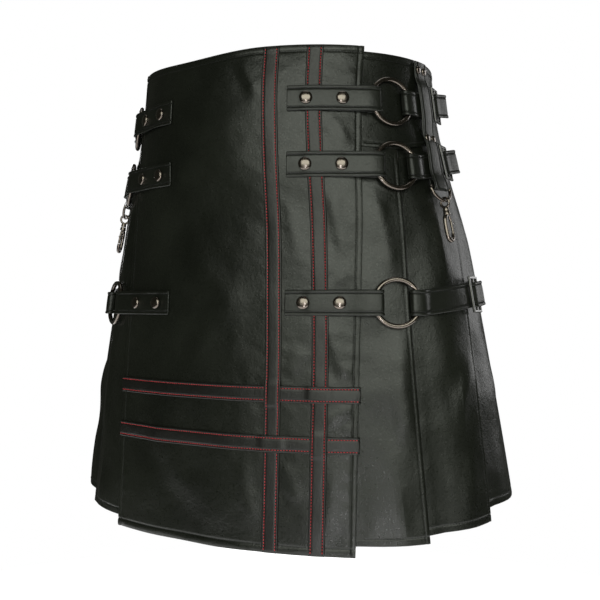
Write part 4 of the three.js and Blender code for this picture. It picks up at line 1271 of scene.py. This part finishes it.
def makeHooks():
    for sideName in ("left", "right"):
        ringJoint = joints[f"d_ring_hinge_{sideName}"]
        pivot = Vector(ringJoint["pos_m"])
        xAxis = -Vector(ringJoint["axis"]).normalized()
        normal = Vector((xAxis.y, -xAxis.x, 0))

        def leaning(angle):
            return Vector((0, 0, math.cos(angle))) - normal * math.sin(angle)

        ringFrame = frameAt(pivot, xAxis, leaning(dRingShape["lean"]))
        inner, depth = dRingShape["inner"], dRingShape["depth"]
        points = [(x, 0, 0) for x in (-inner, -inner + 0.0002, -inner / 3, inner / 3, inner - 0.0002, inner)]
        points += [((inner + 0.002) * math.cos(t), -depth * math.sin(t), 0)
                   for t in np.radians((8, 20, 35, 50, 65, 80, 90, 100, 115, 130, 145, 160, 172))]
        ring = wirePiece("dRing", points, dRingShape["wire"], True, nickel, ringFrame)
        joinPieces(f"d_ring_{sideName}_metal", [ring], f"d_ring_body_{sideName}", f"d_ring_{sideName}")

        low = Vector(joints[f"snap_swing_{sideName}"]["pos_m"])
        hookFrame = frameAt(low, xAxis, leaning(snapShape["lean"]))
        radius, wire = snapShape["eyeRadius"], snapShape["eyeWire"]
        middle = -(radius - wire - dRingShape["wire"] - 0.0004)
        points = [(0, middle + radius * math.sin(t), radius * math.cos(t))
                  for t in np.linspace(0, 2 * math.pi, 17)[:-1]]
        eye = wirePiece("eye", points, wire, True, nickel, hookFrame)
        barrelTop, barrelLow = middle - radius - 0.0001, middle - radius - 0.0051
        barrel = cylinderPart("barrel", snapShape["barrel"], snapShape["barrel"] * 0.86, barrelLow, barrelTop,
                              hookFrame, nickel)
        joinPieces(f"snap_eye_{sideName}_metal", [eye, barrel],
                   f"snap_eye_body_{sideName}", f"snap_eye_{sideName}")

        collarTop = middle - radius - 0.0051 - 0.0003
        w, end = snapShape["halfWidth"], -snapShape["length"]
        points = [(0, collarTop - 0.003, 0), (-0.003, collarTop - 0.005, 0), (-w + 0.001, collarTop - 0.008, 0),
                  (-w, collarTop - 0.014, 0), (-w, end + 0.010, 0), (-w + 0.0014, end + 0.0045, 0), (-0.0024, end + 0.001, 0),
                  (0.0014, end + 0.0006, 0), (w - 0.0016, end + 0.004, 0), (w, end + 0.009, 0), (w, end + 0.012, 0)]
        radii = [1.35, 1.45, 1.4, 1.35, 1.3, 1.4, 1.45, 1.35, 1.2, 1.05, 0.95]
        hook = wirePiece("hook", points, snapShape["wire"], False, nickel, hookFrame, radii)
        collar = cylinderPart("collar", snapShape["barrel"] + 0.0006, snapShape["barrel"],
                              collarTop - 0.005, collarTop, hookFrame, nickel)
        joinPieces(f"snap_hook_{sideName}_metal", [hook, collar],
                   f"snap_hook_body_{sideName}", f"snap_hook_{sideName}")

        gateTop, gateEnd = collarTop - 0.0058, end + 0.0125
        points = [(w - 0.0026, gateTop, 0), (w - 0.0008, gateTop - 0.005, 0), (w, gateEnd + 0.004, 0), (w, gateEnd, 0)]
        gate = wirePiece("gate", points, 0.0016, False, nickel, hookFrame)
        knob = cylinderPart("knob", 0.0013, 0.0017, -0.0022, 0.0022,
                            hookFrame @ Matrix.Translation((w + 0.0008, gateTop - 0.009, 0))
                            @ Matrix.Rotation(math.radians(90), 4, "Z"), nickel, 0.0003)
        joinPieces(f"snap_gate_{sideName}_metal", [gate, knob],
                   f"snap_gate_body_{sideName}", f"snap_gate_{sideName}")


makeHooks()
print("hooks done")


# rings, slides and rivets: each modelled once at the origin, then copied
def copyTo(model, name, matrix, body="kilt", nodes=()):
    mesh = model.data.copy()
    mesh.name = name
    mesh.transform(matrix)
    piece = bpy.data.objects.new(name, mesh)
    bpy.context.collection.objects.link(piece)
    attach(piece, body)
    if nodes:
        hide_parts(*nodes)
    return piece


def modelRing():
    deselectAll()
    bpy.ops.mesh.primitive_torus_add(major_radius=ringShape["radius"], minor_radius=ringShape["wire"],
                                     major_segments=96, minor_segments=20)
    ring = bpy.context.view_layer.objects.active
    ring.data.materials.append(nickel)
    bpy.ops.object.shade_smooth()
    return ring


def modelRivet(radius, height):
    # a low cylinder whose top face is drawn in and up, step by step, into a dome
    deselectAll()
    rim = height * 0.24
    bpy.ops.mesh.primitive_cylinder_add(vertices=32, radius=radius, depth=rim, location=(0, 0, rim / 2))
    rivetPiece = bpy.context.view_layer.objects.active
    bpy.ops.object.transform_apply(location=True, rotation=True, scale=True)
    bpy.ops.object.mode_set(mode="EDIT")
    bpy.ops.mesh.select_all(action="DESELECT")
    bpy.ops.object.mode_set(mode="OBJECT")
    for face in rivetPiece.data.polygons:
        face.select = face.normal.z > 0.9
    bpy.ops.object.mode_set(mode="EDIT")
    share = 1.0
    for angle in (12, 26, 40, 54, 68, 80):
        wanted = math.cos(math.radians(angle))
        rise = (height - rim) * (math.sin(math.radians(angle)) - math.sqrt(max(0, 1 - share ** 2)))
        bpy.ops.mesh.extrude_region_move(TRANSFORM_OT_translate={"value": (0, 0, rise)})
        bpy.ops.transform.resize(value=(wanted / share, wanted / share, 1))
        share = wanted
    bpy.ops.object.mode_set(mode="OBJECT")
    rivetPiece.data.materials.append(nickel)
    bpy.ops.object.shade_smooth_by_angle(angle=math.radians(50))
    return rivetPiece


def modelSlide():
    shape = slideShape
    deselectAll()
    bpy.ops.mesh.primitive_grid_add(x_subdivisions=5, y_subdivisions=3, size=1)
    slidePiece = bpy.context.view_layer.objects.active
    xs = [-shape["length"] / 2, -shape["length"] / 2 + shape["bar"], -shape["bar"] / 2,
          shape["bar"] / 2, shape["length"] / 2 - shape["bar"], shape["length"] / 2]
    ys = [-shape["height"] / 2, -shape["height"] / 2 + shape["bar"],
          shape["height"] / 2 - shape["bar"], shape["height"] / 2]
    for vertex in slidePiece.data.vertices:
        vertex.co.x = xs[round((vertex.co.x + 0.5) * 5)]
        vertex.co.y = ys[round((vertex.co.y + 0.5) * 3)]
        vertex.co.z = -shape["thickness"] / 2
    bpy.ops.object.mode_set(mode="EDIT")
    bpy.ops.mesh.select_all(action="DESELECT")
    bpy.ops.mesh.select_mode(type="FACE")
    bpy.ops.object.mode_set(mode="OBJECT")
    for face in slidePiece.data.polygons:
        centre = face.center
        face.select = abs(centre.y) < 0.005 and shape["bar"] < abs(centre.x) < shape["length"] / 2 - shape["bar"]
    bpy.ops.object.mode_set(mode="EDIT")
    bpy.ops.mesh.delete(type="FACE")
    bpy.ops.mesh.select_all(action="SELECT")
    bpy.ops.mesh.extrude_region_move(TRANSFORM_OT_translate={"value": (0, 0, shape["thickness"])})
    bpy.ops.mesh.select_all(action="SELECT")
    bpy.ops.mesh.normals_make_consistent(inside=False)
    bpy.ops.object.mode_set(mode="OBJECT")
    applyModifier(slidePiece, "BEVEL", width=0.0012, segments=4, limit_method="ANGLE", angle_limit=math.radians(40))
    pickOnly(slidePiece)
    slidePiece.data.materials.append(darkNickel)
    bpy.ops.object.shade_smooth_by_angle(angle=math.radians(35))
    return slidePiece


def makeHardware():
    ringModel = modelRing()
    for name, matrix in placed["rings"]:
        copyTo(ringModel, name + "_metal", matrix, nodes=(name,))
    slideModel = modelSlide()
    for name, matrix in placed["slides"]:
        copyTo(slideModel, name + "_metal", matrix, nodes=(name,))
    rivetModel = modelRivet(rivetShape["radius"], rivetShape["height"])
    for name, matrix in placed["rivets"]:
        copyTo(rivetModel, name + "_metal", matrix, nodes=(name,))
    smallModel = modelRivet(0.005, 0.0026)
    for k, (name, matrix) in enumerate(placed["smallRivets"]):
        copyTo(smallModel, f"{name}_{k % 4 + 1}_metal", matrix)
    for model in (ringModel, slideModel, rivetModel, smallModel):
        bpy.data.objects.remove(model)


makeHardware()
print("rings, slides and rivets done")


# stitches
def stitchOnPanels():
    shape = apronShape
    arcs = np.linspace(-shape["halfWidth"] + 0.004, shape["halfWidth"] - 0.004, 400)
    tops = apronTop(arcs) - shape["topHem"]
    seamOnSkirt("apron", arcs, tops, apronFace(arcs, tops))
    lows = np.full(400, -shape["length"] + shape["bottomHem"])
    seamOnSkirt("apron", arcs, lows, apronFace(arcs, lows))
    for side in (-1, 1):
        heights = np.linspace(-0.005, -shape["length"] + 0.004, 600)
        edges = np.full(600, side * (shape["halfWidth"] - shape["sideHem"]))
        seamOnSkirt("apron", edges, heights, apronFace(edges, heights))
    for side in (-1, 1):
        for number in range(1, pleatShape["perSide"] + 1):
            startRise, foldRise = pleatShape["hemRises"][number - 1]
            heights = np.linspace(seamHeight - 0.012, pleatShape["hem"] + foldRise + 0.003, 240)
            folds = np.array([float(foldArc(number, z)) for z in heights]) - pleatShape["edgeStitch"]
            outs = layerOut("outer", heights) + pleatShape["thickness"] / 2
            outs = outs + pleatWrinkle(number, folds, heights) - 0.0003
            seamOnSkirt("pleats", side * folds, heights, outs)
            low = pleatShape["hem"] + pleatShape["hemStitch"] + (startRise + foldRise) / 2
            start = yokeShape["start"] if number == 1 else float(foldArc(number - 1, low)) + 0.003
            fold = float(foldArc(number, low))
            arcs = np.linspace(0.180 if number == 1 else start + 0.003, fold - 0.002, 80)
            lows = low + (foldRise - startRise) * ((arcs - start) / (fold - start) - 0.5)
            seamOnSkirt("pleats", side * arcs, lows, pleatFace(number, arcs, lows) - 0.0003)
        arcs = np.linspace(0.190, float(halfRound(-0.116)), 400)
        heights = yokeSeam(arcs) + yokeShape["seamHem"]
        lift = yokeShape["seamLift"] * float(smooth(1 - yokeShape["seamHem"] / yokeShape["liftHeight"]))
        seamOnSkirt("pleats", side * arcs, heights, yokeShape["outer"] + lift - 0.0003)
        arcs = np.linspace(0.180, float(halfRound(-0.014)), 400)
        seamOnSkirt("pleats", side * arcs, yokeShape["top"] - yokeShape["topHem"], yokeShape["outer"] - 0.0003)


def makeStitches():
    stitchOnPanels()
    look = stitchLook
    for group, colour in (("red", redThread), ("apron", blackThread), ("pleats", blackThread), ("straps", blackThread)):
        points, faces = [], []
        for low, high, normal in seams[group]:
            x = high - low
            x = x / np.linalg.norm(x)
            z = normal - x * np.dot(normal, x)
            z = z / np.linalg.norm(z)
            y = np.cross(z, x)
            basis = np.array([x * look["length"], y * look["width"], z * look["height"]])
            base = len(points) * len(stitchShape)
            points.append((low + high) / 2 + stitchShape @ basis)
            faces += [tuple(base + k for k in face) for face in stitchFaces]
        piece = newPiece(f"stitches_{group}", np.concatenate(points), faces, colour)
        print(group, "stitches:", len(seams[group]), "faces:", len(faces))


makeStitches()

# the small lamp by the camera lights only the bright metal
metalPieces = bpy.data.collections.new("metalPieces")
for piece in bpy.context.scene.objects:
    if piece.type == "MESH" and nickel in list(piece.data.materials):
        metalPieces.objects.link(piece)
lamps["sparkLight"].light_linking.receiver_collection = metalPieces

# floor
floorMaterial, floorTree, floorShader = newMaterial("paleFloor")
floorPlace = addNode(floorTree, "ShaderNodeTexCoord").outputs["Object"]
floorNoise = addNode(floorTree, "ShaderNodeTexNoise", {"Vector": floorPlace}, Scale=2.0)
floorRough = mapRange(floorTree, floorNoise.outputs[0], (0, 1), (0.8, 0.95))
floorTree.links.new(floorRough, floorShader.inputs["Roughness"])
floorShader.inputs["Base Color"].default_value = (0.9, 0.9, 0.9, 1)
floorShader.inputs["Specular IOR Level"].default_value = 0.0
floorShader.inputs["Emission Color"].default_value = (1, 1, 1, 1)
floorShader.inputs["Emission Strength"].default_value = 1.0
deselectAll()
bpy.ops.mesh.primitive_circle_add(vertices=128, radius=studio["floorRadius"], fill_type="NGON",
                                  location=(0, 0, studio["floorHeight"]))
floor = bpy.context.view_layer.objects.active
bpy.ops.object.transform_apply(location=True, rotation=True, scale=True)
floor.name = "floor"
floor.data.materials.append(floorMaterial)
